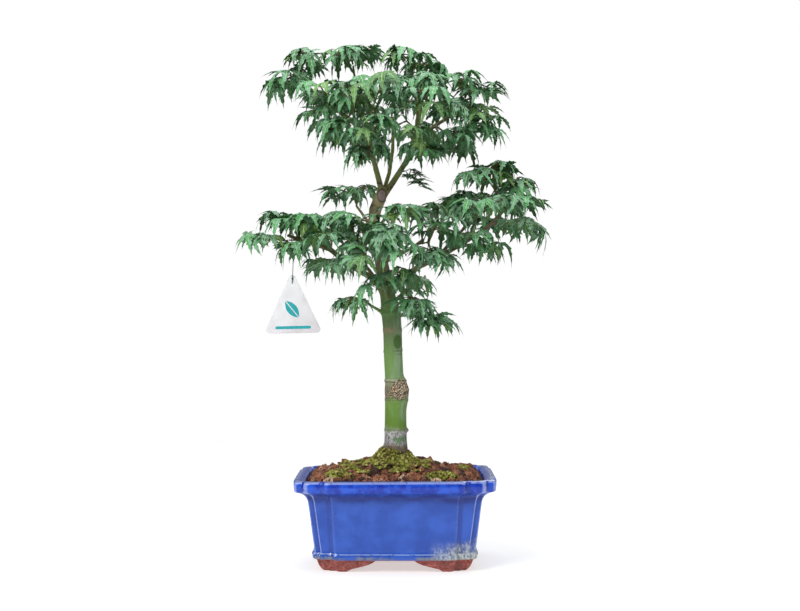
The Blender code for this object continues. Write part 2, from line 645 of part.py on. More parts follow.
def leaf_shell(joint, stalk, heading, length, droop, roll):
    """Leaf on its stalk: two low cones of lobes that share one outline, and a flat stalk behind.

    The stalk starts at `joint` inside the twig, and `heading` is the way that the middle lobe points.
    """
    base = joint + stalk
    side = Vector((-heading.y, heading.x, 0)).normalized()
    turn = Matrix.Rotation(roll, 3, heading)
    side = turn @ side
    up = heading.cross(side)

    def reach(degrees, distance, drop):
        angle = math.radians(degrees)
        flat = math.cos(angle) * heading + math.sin(angle) * side
        return base + distance * (math.cos(drop) * flat - math.sin(drop) * up)

    outline = []
    for index, (angle, share) in enumerate(LOBES):
        outline.append(reach(angle, length * share, droop))
        if index < len(LOBES) - 1:
            outline.append(reach(0.5 * (angle + LOBES[index + 1][0]), length * NOTCH_DEPTH, 0.4 * droop))
    back = stalk.normalized()
    across = up.cross(back).normalized() * (0.5 * PETIOLE_WIDTH)
    heel = base - back * (0.1 * length)
    outline += [heel + across, joint, heel - across]
    lift = up * (0.5 * LEAF_THICKNESS)
    faces = []
    for index in range(len(outline)):
        following = (index + 1) % len(outline)
        faces.append((0, 2 + index, 2 + following))
        faces.append((1, 2 + following, 2 + index))
    return [base + lift, base - lift, *outline], faces


def random_leaf(joint, heading_angle, chance, spread):
    """A leaf about the given heading, with its stalk, tilt, size, droop and roll drawn by chance."""
    angle = heading_angle + math.radians(chance.uniform(-spread, spread))
    level = Vector((math.cos(angle), math.sin(angle), 0))
    rise = math.radians(chance.uniform(5, 32))
    stalk = (level * math.cos(rise) + Vector((0, 0, math.sin(rise)))) * PETIOLE_LENGTH * chance.uniform(0.8, 1.35)
    tilt = math.radians(chance.uniform(0, 30))
    heading = level * math.cos(tilt) - Vector((0, 0, math.sin(tilt)))
    length = LEAF_LENGTH * chance.uniform(0.82, 1.08)
    joint = joint - stalk.normalized() * (0.5 * TWIG_RADIUS)
    return leaf_shell(joint, stalk, heading, length, LEAF_DROOP * chance.uniform(0.75, 1.3),
                      math.radians(chance.uniform(-18, 18)))


def without_stalk_end(leaf):
    """The leaf with its stalk cut short of the twig that it grows from."""
    vertices, faces = leaf
    joint = vertices[-2].lerp(vertices[0], 0.35)
    return [*vertices[:-2], joint, vertices[-1]], faces


def grow_leaves(plan, twig_trees, blocked, chance):
    """Every leaf of one spray that finds room: each place on its twigs tries a few poses in turn."""
    leaves, own_trees = [], []
    for route in plan["routes"]:
        fork, middle, tip = route[-3:]
        along = (tip - middle).normalized()
        outward = Vector((tip.x, tip.y, 0)) + Vector((tip.x - fork.x, tip.y - fork.y, 0))
        heading = math.atan2(outward.y, outward.x)
        for share, turn, step in LEAF_NODES:
            joint = middle.lerp(tip, share) + along * (step * MM)
            for attempt in range(LEAF_TRIES):
                leaf = random_leaf(joint, heading + math.radians(turn), chance, 20 + 3 * attempt)
                blade = without_stalk_end(leaf)
                if is_clear(blade, twig_trees) and is_clear(leaf, own_trees) and is_clear(leaf, blocked):
                    leaves.append(leaf)
                    own_trees.append(search_tree(leaf, 0.3 * LEAF_GAP))
                    break
    return leaves


def build_sprays(plans, limb_trees, branchlet_trees, obstacles, finish):
    twig_trees = place_twigs(plans, limb_trees, branchlet_trees, obstacles)
    leaf_trees = []
    for index, plan in enumerate(plans):
        blocked = [*limb_trees, *branchlet_trees, *obstacles, *leaf_trees]
        blocked += [tree for number, trees in enumerate(twig_trees) if number != index for tree in trees]
        leaves = grow_leaves(plan, twig_trees[index], blocked, random.Random(plan["name"]))
        leaf_trees += [search_tree(leaf, LEAF_GAP) for leaf in leaves]
        spray = add_object(plan["name"], plan["shells"][:1], finish)
        boolean(spray, helper(f"{plan['name']}_leaves", [*plan["shells"][1:], *leaves]), "UNION")


# ---- tag ----------------------------------------------------------------------------------------
def build_tag(finish, thread_finish):
    """Plastic tag with round corners, hung from the left limb on a thread. Returns search trees of both."""
    points, radii = limb_route("left")
    loop_centre = points[-2].lerp(points[-1], 0.6)
    along = (points[-1] - points[-2]).normalized()
    across = along.cross(Vector((0, 0, 1))).normalized()
    loop_radius = radii[-2] + 1.2 * CLEARANCE + THREAD_RADIUS
    route = []
    for degrees in range(-40, 240, 45):
        angle = math.radians(degrees)
        route.append(loop_centre + loop_radius * (math.cos(angle) * across + math.sin(angle) * across.cross(along)))
    for right, front, down in THREAD_FALL:
        route.append(loop_centre + Vector((right, -front, -down)) * MM)
    hole = loop_centre - Vector((0, 0, TAG_DROP))
    face = 0.5 * TAG_THICKNESS + THREAD_RADIUS + CLEARANCE
    route += [hole + Vector((0.2 * MM, -face, 4 * MM)), hole + Vector((0, -0.8 * face, 0.8 * MM)), hole]
    points = smooth_route(route, 3)

    curve = bpy.data.curves.new("tag_thread", "CURVE")
    curve.dimensions = "3D"
    curve.bevel_depth = THREAD_RADIUS
    curve.bevel_resolution = 2
    curve.use_fill_caps = True
    curve.materials.append(thread_finish)
    spline = curve.splines.new("POLY")
    spline.points.add(len(points) - 1)
    for point, place in zip(spline.points, points):
        point.co = (*place, 1)
    bpy.context.scene.collection.objects.link(bpy.data.objects.new("tag_thread", curve))

    top = hole.z + 10.4 * MM
    corners = [Vector((hole.x - 0.5 * TAG_WIDTH, hole.y, top - TAG_HEIGHT)),
               Vector((hole.x + 0.5 * TAG_WIDTH, hole.y, top - TAG_HEIGHT)), Vector((hole.x, hole.y, top))]
    middle = sum(corners, Vector()) / 3
    outline = []
    for corner, facing in zip(corners, (-150, -30, 90)):
        centre = corner + (middle - corner).normalized() * (2 * TAG_CORNER)
        for step in range(-2, 3):
            angle = math.radians(facing + 28 * step)
            outline.append(centre + TAG_CORNER * Vector((math.cos(angle), 0, math.sin(angle))))
    half = Vector((0, 0.5 * TAG_THICKNESS, 0))
    tag_shell = loft([[point + half for point in outline], [point - half for point in outline]])
    tag = add_object("tag", [tag_shell], finish)
    bore = [circle(hole + Vector((0, depth, 0)), TAG_HOLE_RADIUS, 12, Vector((1, 0, 0)), Vector((0, 0, 1)))
            for depth in (2 * TAG_THICKNESS, -2 * TAG_THICKNESS)]
    boolean(tag, helper("tag_hole", [loft(bore)]), "DIFFERENCE")
    thread_shell = tube(points, [1.3 * THREAD_RADIUS] * len(points), 6)
    return [search_tree(tag_shell, LEAF_GAP), search_tree(thread_shell, LEAF_GAP)]


# ---- the whole ----------------------------------------------------------------------------------
def build():
    clear_scene()
    glaze = material("blue_glaze", (0.05, 0.13, 0.55), 0.15)
    plastic_mesh = material("black_plastic", (0.02, 0.02, 0.02), 0.5)
    steel = material("galvanised_wire", (0.5, 0.5, 0.48), 0.35, 1.0)
    gravel = material("lava_soil", (0.22, 0.10, 0.06), 0.95)
    moss = material("moss", (0.13, 0.17, 0.03), 0.95)
    bark = material("green_bark", (0.16, 0.24, 0.09), 0.65)
    leaf_green = material("maple_leaf", (0.07, 0.22, 0.09), 0.5)
    clear_plastic = material("tag_plastic", (0.85, 0.85, 0.9), 0.3)
    cotton = material("thread", (0.08, 0.07, 0.08), 0.8)

    build_pot(glaze)
    build_drain_screens(plastic_mesh, steel)
    build_soil(gravel, moss)
    plans = plan_sprays()
    limb_trees, branchlet_trees = build_wood(plans, bark)
    tag_trees = build_tag(clear_plastic, cotton)
    build_sprays(plans, limb_trees, branchlet_trees, tag_trees, leaf_green)


build()
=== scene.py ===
"""Looks of a Japanese maple bonsai in a blue glazed pot with notched corners, hung with a plastic tag."""
import math
import random

import bmesh
import bpy
import numpy as np
from mathutils import Matrix, Vector, noise
from mathutils.kdtree import KDTree


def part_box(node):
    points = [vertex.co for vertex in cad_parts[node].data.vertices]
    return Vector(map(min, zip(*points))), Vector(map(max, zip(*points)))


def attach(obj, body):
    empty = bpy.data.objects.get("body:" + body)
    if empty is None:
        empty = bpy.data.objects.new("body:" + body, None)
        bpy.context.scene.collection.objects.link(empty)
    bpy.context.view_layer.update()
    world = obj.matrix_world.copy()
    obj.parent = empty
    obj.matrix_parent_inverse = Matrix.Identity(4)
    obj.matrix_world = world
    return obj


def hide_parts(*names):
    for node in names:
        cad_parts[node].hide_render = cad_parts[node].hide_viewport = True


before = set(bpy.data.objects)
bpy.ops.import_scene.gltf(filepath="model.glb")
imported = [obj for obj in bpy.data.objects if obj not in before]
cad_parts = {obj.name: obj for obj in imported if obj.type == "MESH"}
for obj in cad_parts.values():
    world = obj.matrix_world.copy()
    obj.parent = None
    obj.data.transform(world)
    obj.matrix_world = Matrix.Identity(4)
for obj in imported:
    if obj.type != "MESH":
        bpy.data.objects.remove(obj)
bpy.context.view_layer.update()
MM = 0.001

# ---- camera and studio --------------------------------------------------------------------------
# A long lens level with the middle of the tree, a pale sweep of floor, and soft light from a white
# room with one large panel high on the left, one on the right, one overhead and a weak one behind.
ROOM_LIGHT = 0.23       # what the white room sheds on the tree, against its own whiteness
bpy.context.scene.view_settings.view_transform = "Standard"
camera = bpy.data.objects.new("camera", bpy.data.cameras.new("camera"))
camera.location = (0.004, -1.105, 0.2124)
camera.rotation_euler = (math.radians(90), 0, 0)
camera.data.sensor_width = 36
camera.data.lens = 60.16
bpy.context.scene.collection.objects.link(camera)
bpy.context.scene.camera = camera


def add_panel(name, place, aim, size, power):
    """A square light panel that faces a point."""
    light = bpy.data.lights.new(name, "AREA")
    light.size, light.energy = size, power
    panel = bpy.data.objects.new(name, light)
    panel.location = place
    panel.rotation_euler = (Vector(aim) - Vector(place)).to_track_quat("-Z", "Y").to_euler()
    bpy.context.scene.collection.objects.link(panel)


add_panel("panel_left", (-0.75, -1.0, 1.05), (0, 0, 0.24), 0.6, 15.0)
add_panel("panel_right", (0.95, -0.85, 0.75), (0, 0, 0.2), 0.5, 3.8)
add_panel("panel_top", (0, 0.1, 1.4), (0, 0, 0.2), 0.9, 10)
add_panel("panel_back", (0.5, 1.3, 0.8), (0, 0, 0.2), 0.8, 4)


class Wire:
    """A socket of a node tree. Arithmetic on it adds Math nodes, and node() adds any other."""

    def __init__(self, tree, socket=None):
        self.tree, self.socket = tree, socket

    def feed(self, target, value):
        if isinstance(value, Wire):
            self.tree.links.new(value.socket, target)
        elif target.type == "RGBA" and len(value) == 3:
            target.default_value = (*value, 1.0)
        else:
            target.default_value = value

    def node(self, kind, settings=None, sockets=None, out=0):
        made = self.tree.nodes.new(kind)
        for name, value in (settings or {}).items():
            if name == "stops":
                set_stops(made.color_ramp, value)
            else:
                setattr(made, name, value)
        for key, value in (sockets or {}).items():
            self.feed(made.inputs[key], value)
        return Wire(self.tree, made.outputs[out])

    def math(self, operation, *terms):
        return self.node("ShaderNodeMath", {"operation": operation}, dict(enumerate(terms)))

    def __add__(self, other):
        return self.math("ADD", self, other)

    __radd__ = __add__

    def __sub__(self, other):
        return self.math("SUBTRACT", self, other)

    def __rsub__(self, other):
        return self.math("SUBTRACT", other, self)

    def __mul__(self, other):
        return self.math("MULTIPLY", self, other)

    __rmul__ = __mul__

    def __truediv__(self, other):
        return self.math("DIVIDE", self, other)

    def __abs__(self):
        return self.math("ABSOLUTE", self)

    def clamped(self):
        return self.math("MINIMUM", self.math("MAXIMUM", self, 0.0), 1.0)

    def between(self, low, high):
        """0 at `low` and 1 at `high`, with a soft rise."""
        return self.node("ShaderNodeMapRange", {"interpolation_type": "SMOOTHSTEP"},
                         {0: self, 1: low, 2: high})

    def near(self, middle, width):
        """1 at `middle`, falling softly to 0 at `width` from it."""
        return abs(self - middle).between(width, 0.0)

    def mix(self, none, full):
        """The first colour where this mask is 0, and the second where it is 1."""
        none, full = (paint(*side) if isinstance(side, tuple) else side for side in (none, full))
        return self.node("ShaderNodeMix", {"data_type": "RGBA"}, {0: self, 6: none, 7: full}, 2)

    def read(self, name):
        """A number that the mesh carries under this name."""
        return self.node("ShaderNodeAttribute", {"attribute_name": name}, None, 2)

    def finish(self, **sockets):
        """Feeds the shader's sockets, with their names' spaces as underscores."""
        for name, value in sockets.items():
            self.feed(self.tree.nodes["Principled BSDF"].inputs[name.replace("_", " ")], value)

    def xyz(self):
        return [self.node("ShaderNodeSeparateXYZ", None, {0: self}, axis) for axis in range(3)]


def set_stops(ramp, stops):
    """Gives a colour ramp its (position, colour) stops."""
    while len(ramp.elements) < len(stops):
        ramp.elements.new(1.0)
    for element, (position, colour) in zip(ramp.elements, stops):
        element.position, element.color = position, (*paint(*colour), 1.0)


def paint(red, green, blue):
    """Colour as seen on a screen, 0 to 255, in the shader's linear values."""
    return tuple(((part / 255 + 0.055) / 1.055) ** 2.4 if part > 10 else part / 3295
                 for part in (red, green, blue))


def new_finish(name, **plain):
    """A material with its plain sockets set, and a wire to start its nodes from."""
    made = bpy.data.materials.new(name)
    made.use_nodes = True
    wire = Wire(made.node_tree)
    wire.finish(**plain)
    return made, wire


room = bpy.data.worlds.new("white_room")
room.use_nodes = True
wire = Wire(room.node_tree)
room_glow = room.node_tree.nodes["Background"].inputs
room_glow["Color"].default_value = (1.0, 1.0, 1.0, 1.0)
wire.feed(room_glow["Strength"], wire.node("ShaderNodeLightPath") * (1.0 - ROOM_LIGHT) + ROOM_LIGHT)
bpy.context.scene.world = room

floor_mesh = bpy.data.meshes.new("floor")
floor_mesh.from_pydata([(-6, -6, 0), (6, -6, 0), (6, 6, 0), (-6, 6, 0)], [], [(0, 1, 2, 3)])
floor = bpy.data.objects.new("floor", floor_mesh)
floor_paper, wire = new_finish("floor_paper", Base_Color=(0.6, 0.6, 0.6), Roughness=0.9,
                               Emission_Color=(1, 1, 1), Emission_Strength=0.55)
x, y, _ = wire.node("ShaderNodeTexCoord", None, None, 3).xyz()
wire.finish(Alpha=(x * x + y * y).between(1.2, 0.16))
floor_mesh.materials.append(floor_paper)
bpy.context.scene.collection.objects.link(floor)

# ---- thread of the tag --------------------------------------------------------------------------
# Dark sewing thread, looped once round the left limb, knotted under it and tied through the tag's hole.
THREAD_DIAMETER = 0.6 * MM
LOOP_CENTRE = Vector((-0.0846, -0.0054, 0.2688))
LOOP_RADIUS = 2.56 * MM
LIMB_LINE = Vector((-11, 1, 4)).normalized()
TAG_HOLE = LOOP_CENTRE - Vector((0, 0, 0.039))


EVEN = (1.0, 1.0, 1.0)


def place_on(wire, stretch=EVEN):
    """Place on the piece in metres, stretched for a pattern that runs one way."""
    place = wire.node("ShaderNodeTexCoord", None, None, 3)
    return place if stretch == EVEN else wire.node("ShaderNodeMapping", None, {0: place, 3: stretch})


def grain(wire, size, detail=3.0, stretch=EVEN, rough=0.5):
    """Soft noise from about 0.25 to 0.75 whose lumps are `size` metres across."""
    return wire.node("ShaderNodeTexNoise", None, {"Vector": place_on(wire, stretch), "Scale": 1 / size,
                                                  "Detail": detail, "Roughness": rough})


def bump(wire, height, depth):
    """Normal of a surface whose height runs over `depth` metres."""
    return wire.node("ShaderNodeBump", None, {"Strength": 1.0, "Distance": depth, "Height": height})


def link(obj):
    bpy.context.scene.collection.objects.link(obj)
    return obj


def settled(obj):
    """The object with its modifiers made real."""
    mesh = bpy.data.meshes.new_from_object(obj.evaluated_get(bpy.context.evaluated_depsgraph_get()))
    mesh.name = obj.name
    obj.modifiers.clear()
    obj.data = mesh
    return obj


def smooth_route(points, steps):
    """Points of a Catmull-Rom curve through the given ones, with `steps` along each stretch."""
    ends = [2 * points[0] - points[1], *points, 2 * points[-1] - points[-2]]
    route = []
    for index in range(1, len(ends) - 2):
        a, b, c, d = ends[index - 1:index + 3]
        for step in range(steps):
            t = step / steps
            route.append(0.5 * (2 * b + (c - a) * t + (2 * a - 5 * b + 4 * c - d) * t ** 2
                                + (3 * b - a - 3 * c + d) * t ** 3))
    return [*route, points[-1]]


def thread_curve(name, points, finish):
    """Round thread through the points."""
    curve = bpy.data.curves.new(name, "CURVE")
    curve.dimensions = "3D"
    curve.bevel_depth = 0.5 * THREAD_DIAMETER
    curve.bevel_resolution = 2
    curve.use_fill_caps = True
    spline = curve.splines.new("POLY")
    spline.points.add(len(points) - 1)
    for point, place in zip(spline.points, points):
        point.co = (*place, 1)
    curve.materials.append(finish)
    return link(bpy.data.objects.new(name, curve))


thread_finish, wire = new_finish("dark_thread", Roughness=0.85)
strands = wire.node("ShaderNodeTexWave", {"wave_type": "BANDS", "bands_direction": "DIAGONAL"},
                    {"Vector": place_on(wire), "Scale": 900.0, "Distortion": 0.5}, 1)
wire.finish(Base_Color=strands.mix((52, 48, 58), (112, 106, 116)))
wire.finish(Normal=bump(wire, strands, 0.1 * MM))

across = LIMB_LINE.cross(Vector((0, 0, 1))).normalized()
route = [LOOP_CENTRE + LOOP_RADIUS * (math.cos(math.radians(turn)) * across
                                      + math.sin(math.radians(turn)) * across.cross(LIMB_LINE))
         for turn in range(-40, 240, 45)]
route += [LOOP_CENTRE + Vector(step) * MM for step in ((0.3, -0.2, -6.5), (0.7, -0.5, -16), (0.6, -0.9, -26))]
route += [TAG_HOLE + Vector(step) * MM for step in ((0.2, -1.0, 4), (0, -0.8, 0.8), (0, 0, 0))]
route = smooth_route(route, 3)
thread = thread_curve("thread_of_tag", route, thread_finish)


def knot_mesh(name, centre, finish):
    """Three turns of thread drawn tight round the standing part."""
    turns = [centre + Vector((0.42 * math.cos(turn), 0.42 * math.sin(turn), 0.55 * (turn / 9.0 - 1.0))) * MM
             for turn in (0.5 * step for step in range(37))]
    return settled_curve(thread_curve(name, turns, finish))


def settled_curve(obj):
    """The curve object made a mesh object."""
    mesh = bpy.data.meshes.new_from_object(obj.evaluated_get(bpy.context.evaluated_depsgraph_get()))
    name, mesh.name = obj.name, obj.name
    bpy.data.objects.remove(obj)
    return link(bpy.data.objects.new(name, mesh))


upper_knot = knot_mesh("upper_knot", LOOP_CENTRE + Vector((0.25, -0.15, -5.2)) * MM, thread_finish)
lower_knot = knot_mesh("lower_knot", TAG_HOLE + Vector((0.25, -1.0, 4.6)) * MM, thread_finish)

# ---- tag ----------------------------------------------------------------------------------------
# Die-cut triangle of milky translucent plastic with round corners and a punched hole, printed in teal
# with a plain leaf and a bar.
tag_low, tag_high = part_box("tag")
TAG_THICKNESS = tag_high.y - tag_low.y
TAG_CORNER = 3.0 * MM
TAG_SWING = math.radians(-1.2)
TAG_HALF_WIDTH, TAG_HEIGHT, TOP_OVER_HOLE = 24.0 * MM, 51.0 * MM, 10.4 * MM
tag_top = TAG_HOLE.z + TOP_OVER_HOLE
tag_foot = tag_top - TAG_HEIGHT


def flat_plate(name, outlines, thickness, edge, y_front, finish):
    """Plate cut to outlines of (x, z) points, later ones being holes, its front at `y_front`."""
    curve = bpy.data.curves.new(name, "CURVE")
    curve.dimensions = "2D"
    curve.fill_mode = "BOTH"
    curve.extrude = 0.5 * thickness - edge
    curve.bevel_depth = edge
    curve.bevel_resolution = 1
    for outline in outlines:
        spline = curve.splines.new("POLY")
        spline.points.add(len(outline) - 1)
        for point, (x, z) in zip(spline.points, outline):
            point.co = (x, z, 0, 1)
        spline.use_cyclic_u = True
    curve.materials.append(finish)
    plate = settled_curve(link(bpy.data.objects.new(name, curve)))
    to_front = Matrix.Translation((0, y_front + 0.5 * thickness, 0))
    plate.data.transform(to_front @ Matrix.Rotation(math.pi / 2, 4, "X"))
    about_hole = Matrix.Rotation(TAG_SWING, 4, "Y") @ Matrix.Translation(-TAG_HOLE)
    plate.data.transform(Matrix.Translation(TAG_HOLE) @ about_hole)
    return plate


corners = [Vector((TAG_HOLE.x - TAG_HALF_WIDTH, tag_foot)), Vector((TAG_HOLE.x + TAG_HALF_WIDTH, tag_foot)),
           Vector((TAG_HOLE.x, tag_top))]
middle = sum(corners, Vector((0, 0))) / 3
rounded = []
for corner, facing in zip(corners, (-150, -30, 90)):
    centre = corner + (middle - corner).normalized() * (2 * TAG_CORNER)
    rounded += [centre + TAG_CORNER * Vector((math.cos(turn), math.sin(turn)))
                for turn in (math.radians(facing + 8 * step) for step in range(-7, 8))]
hole = [Vector((TAG_HOLE.x, TAG_HOLE.z)) + 1.3 * MM * Vector((math.cos(turn), math.sin(turn)))
        for turn in (-math.pi * step / 14 for step in range(28))]

plastic, wire = new_finish("milky_plastic", Roughness=0.28, IOR=1.46)
clouds = grain(wire, 14 * MM, 2.0).between(0.3, 0.7)
x, y, z = place_on(wire).xyz()
# Painted shade: the tag's white darkens towards its lower right, over a random milky cloudiness.
painted_tag_shading = (clouds * 0.4 + (z - TAG_HOLE.z + 0.042) * 14.0 - (x - TAG_HOLE.x) * 14.0).clamped()
wire.finish(Base_Color=painted_tag_shading.mix((216, 212, 216), (250, 252, 255)))
wire.finish(Normal=bump(wire, grain(wire, 6 * MM, 1.0), 0.06 * MM))
tag = flat_plate("plastic_tag", [rounded, hole], TAG_THICKNESS, 0.12 * MM, tag_low.y, plastic)

ink, wire = new_finish("teal_ink", Roughness=0.35)
wire.finish(Base_Color=grain(wire, 2 * MM).mix((24, 150, 158), (60, 186, 190)))
LEAF_SPAN = 17.0 * MM
leaf_middle = Vector((TAG_HOLE.x - 0.5 * MM, TAG_HOLE.z - 20.5 * MM))
slant = Matrix.Rotation(math.radians(38), 2)


def leaf_half(side):
    """Outline of one half of the printed leaf, on one side of its bare midrib."""
    steps = [step / 12 for step in range(13)]
    outer = [(side * (0.35 * MM + 0.23 * LEAF_SPAN * math.sin(math.pi * t) ** 0.8), (t - 0.5) * LEAF_SPAN)
             for t in steps]
    inner = [(side * 0.35 * MM, (t - 0.5) * LEAF_SPAN) for t in reversed(steps[1:-1])]
    return [leaf_middle + slant @ Vector(point) for point in outer + inner]


BAR_HALF, BAR_ROUND = 13.5 * MM, 1.2 * MM
bar_middle = Vector((TAG_HOLE.x, TAG_HOLE.z - 35.5 * MM))
bar = []
for side, start in ((1, -90), (-1, 90)):
    for step in range(9):
        turn = math.radians(start + 22.5 * step)
        end = Vector((side * BAR_HALF + BAR_ROUND * math.cos(turn), BAR_ROUND * math.sin(turn)))
        bar.append(bar_middle + end)
print_parts = [flat_plate(f"print_{index}", [outline], 0.05 * MM, 0.005 * MM, tag_low.y - 0.05 * MM, ink)
               for index, outline in enumerate((leaf_half(-1), leaf_half(1), bar))]


def joined(name, parts):
    """One object from several, their meshes and materials kept."""
    with bpy.context.temp_override(active_object=parts[0], selected_editable_objects=parts):
        bpy.ops.object.join()
    parts[0].name = parts[0].data.name = name
    return parts[0]


tag_print = joined("tag_print", print_parts)

for piece in (thread, upper_knot, lower_knot, tag, tag_print):
    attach(piece, "root")
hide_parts("tag_thread")
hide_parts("tag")

# ---- pot ----------------------------------------------------------------------------------------
# Red stoneware, pressed in a mould and fired with a cobalt glaze that pools in the hollows, breaks pale
# over the arrises and runs grey-green at the foot. The four feet are wiped bare. Light is painted into the
# glaze's colour too: a painted shadow under the rim, a painted sheen on the rim's top and painted
# highlights along the arrises, the rim's brow and the top of the foot band.
RIM_X, RIM_Y, POT_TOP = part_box("pot")[1]
FRONT_PANEL, SIDE_PANEL = 55.5 * MM, 34.0 * MM
UNDERSIDE = 11.0 * MM
DRAIN_X = 33.0 * MM
# Height, how far in from the rim, depth of the corner notch, all in millimetres, up the outside.
OUTSIDE = (
    (0.0, 23.2, 6.2), (0.5, 22.6, 6.2), (2.5, 20.8, 6.2), (5.0, 19.3, 6.2), (8.0, 18.2, 6.2),
    (9.6, 17.7, 6.2), (10.1, 16.6, 6.2), (10.7, 15.7, 6.2), (11.4, 14.9, 6.2), (12.4, 14.5, 6.2),
    (13.4, 14.6, 6.2), (14.4, 15.1, 6.2), (15.4, 15.8, 6.2), (16.6, 16.1, 6.2), (18.5, 15.9, 6.2),
    (21.0, 15.6, 6.2), (30.0, 14.4, 6.2), (38.7, 13.3, 6.2), (48.0, 12.2, 6.2), (54.0, 11.4, 6.2),
    (57.2, 10.9, 6.3), (59.6, 10.1, 6.5), (61.6, 8.6, 7.0), (63.2, 6.6, 7.7), (64.3, 4.3, 8.5),
    (64.9, 2.4, 9.2), (65.4, 1.1, 9.5), (66.1, 0.4, 9.6), (67.0, 0.1, 9.6), (69.5, 0.0, 9.6),
    (72.2, 0.0, 9.6), (73.4, 0.3, 9.6), (74.1, 1.0, 9.6), (74.4, 2.2, 9.4),
)
# The same down the inside, with the height of the step beside the raised panels.
INSIDE = (
    (74.4, 7.6, 6.4, 2.8), (74.1, 8.8, 5.6, 2.4), (73.2, 9.6, 5.0, 2.0), (70.0, 10.7, 5.0, 2.0),
    (56.4, 17.1, 4.0, 2.0), (36.0, 19.4, 4.0, 2.0), (16.0, 21.6, 4.0, 2.0),
)
ARC_STEPS = 5
ARRIS, HOLLOW, PANEL_EDGE = 1.3 * MM, 2.4 * MM, 4.6 * MM
CORNER_KINDS = (("panel", PANEL_EDGE), ("hollow", PANEL_EDGE), ("arris", ARRIS), ("hollow", HOLLOW),
                ("arris", ARRIS), ("hollow", PANEL_EDGE), ("panel", PANEL_EDGE))


def pot_outline(height, inset, notch, step):
    """Points round the pot at one height, every corner eased by an arc, and how sharp an arris each is."""
    half_x, half_y = RIM_X - inset, RIM_Y - inset
    rounder = 3.6 * MM * min(1.0, max(0.0, (height - 60 * MM) / (5 * MM)))
    panel_x, panel_y = FRONT_PANEL - 0.4 * inset, SIDE_PANEL - 0.4 * inset
    end_step = 0.35 * step
    quarter = ((panel_x, half_y), (panel_x, half_y - step), (half_x - notch, half_y - step),
               (half_x - notch, half_y - notch), (half_x - end_step, half_y - notch),
               (half_x - end_step, panel_y), (half_x, panel_y))
    corners, kinds = [], []
    for sign_x, sign_y in ((1, -1), (1, 1), (-1, 1), (-1, -1)):
        order = slice(None, None, -1) if sign_x == sign_y else slice(None)
        corners += [Vector((sign_x * x, sign_y * y, height)) for x, y in quarter[order]]
        kinds += CORNER_KINDS[order]
    points, sharpness = [], []
    for index, corner in enumerate(corners):
        before, after = corners[index - 1], corners[(index + 1) % len(corners)]
        kind, ease = kinds[index]
        ease += rounder if kind == "arris" else 0.0
        start = corner + (before - corner).normalized() * min(ease, 0.46 * (before - corner).length)
        end = corner + (after - corner).normalized() * min(ease, 0.46 * (after - corner).length)
        for count in range(ARC_STEPS):
            t = count / (ARC_STEPS - 1)
            points.append(start.lerp(corner, t).lerp(corner.lerp(end, t), t))
            sharpness.append({"arris": 1.0, "panel": 0.42, "hollow": -0.7}[kind] * (1 - (2 * t - 1) ** 2))
    return points, sharpness


def lofted(rings):
    """Closed shell through rings of equal count."""
    count = len(rings[0])
    points = [point for ring in rings for point in ring]
    faces = [tuple(reversed(range(count)))]
    for low in range(0, (len(rings) - 1) * count, count):
        faces += [(low + i, low + (i + 1) % count, low + count + (i + 1) % count, low + count + i)
                  for i in range(count)]
    return points, [*faces, tuple(range(len(points) - count, len(points)))]


def solid(name, points, faces, finish=None):
    mesh = bpy.data.meshes.new(name)
    mesh.from_pydata(points, [], faces)
    if finish:
        mesh.materials.append(finish)
    return link(bpy.data.objects.new(name, mesh))


def block(name, low, high):
    """Cutter with upright sides between two corners."""
    (x0, y0, z0), (x1, y1, z1) = low, high
    rings = [[Vector((x, y, z)) for x, y in ((x0, y0), (x1, y0), (x1, y1), (x0, y1))] for z in (z0, z1)]
    return solid(name, *lofted(rings))


def foot_gap(name, flat, spread, along_x):
    """Cutter for the bracket-shaped gap between two feet."""
    half = [(flat + share * spread, height) for share, height in (
        (0.0, 9.6), (0.10, 7.9), (0.26, 6.2), (0.60, 3.9), (0.86, 2.3), (0.98, 0.7), (1.06, -1.0))]
    outline = half[::-1] + [(-place, height) for place, height in half]
    if along_x:
        rings = [[Vector((x, y * MM, z * MM)) for y, z in outline] for x in (-0.1, 0.1)]
    else:
        rings = [[Vector((x * MM, y, z * MM)) for x, z in outline] for y in (0.08, -0.08)]
    return solid(name, *lofted(rings))


PANEL_STEP, BARE_ROWS, BROW = 4.0, 3, 73.3
rings, sharp_points = [], []
pot_rows = [(*row, PANEL_STEP) for row in OUTSIDE] + list(INSIDE)
for number, row in enumerate(pot_rows):
    ring, sharpness = pot_outline(*(part * MM for part in row))
    rings.append(ring)
    # The rim's outer brow counts as a full arris, so it gets the pale line too.
    edge = 1.0 if row[0] > BROW and row[1] < 3 else 0.0
    wet = 1.0 if number < len(pot_rows) - BARE_ROWS else 0.0
    sharp_points += [(point, max(sharp, edge) if sharp >= 0 else sharp, wet)
                     for point, sharp in zip(ring, sharpness)]
pot = solid("glazed_pot", *lofted(rings))
foot_x, foot_y = RIM_X - 32.6 * MM, RIM_Y - 32.6 * MM
cutters = [block("recess", (-foot_x, -foot_y, -MM), (foot_x, foot_y, UNDERSIDE)),
           foot_gap("front_gap", 15.5, 22.5, False), foot_gap("side_gap", 10.0, 15.5, True)]
for side in (-1, 1):
    rings = [[Vector((side * DRAIN_X + 7 * MM * math.cos(turn), 7 * MM * math.sin(turn), z))
              for turn in (math.pi * step / 16 for step in range(32))] for z in (10 * MM, 17 * MM)]
    cutters.append(solid(f"drain_{side}", *lofted(rings)))
for cutter in cutters:
    cut = pot.modifiers.new(cutter.name, "BOOLEAN")
    cut.operation, cut.object, cut.solver = "DIFFERENCE", cutter, "EXACT"
settled(pot)
for cutter in cutters:
    bpy.data.objects.remove(cutter)

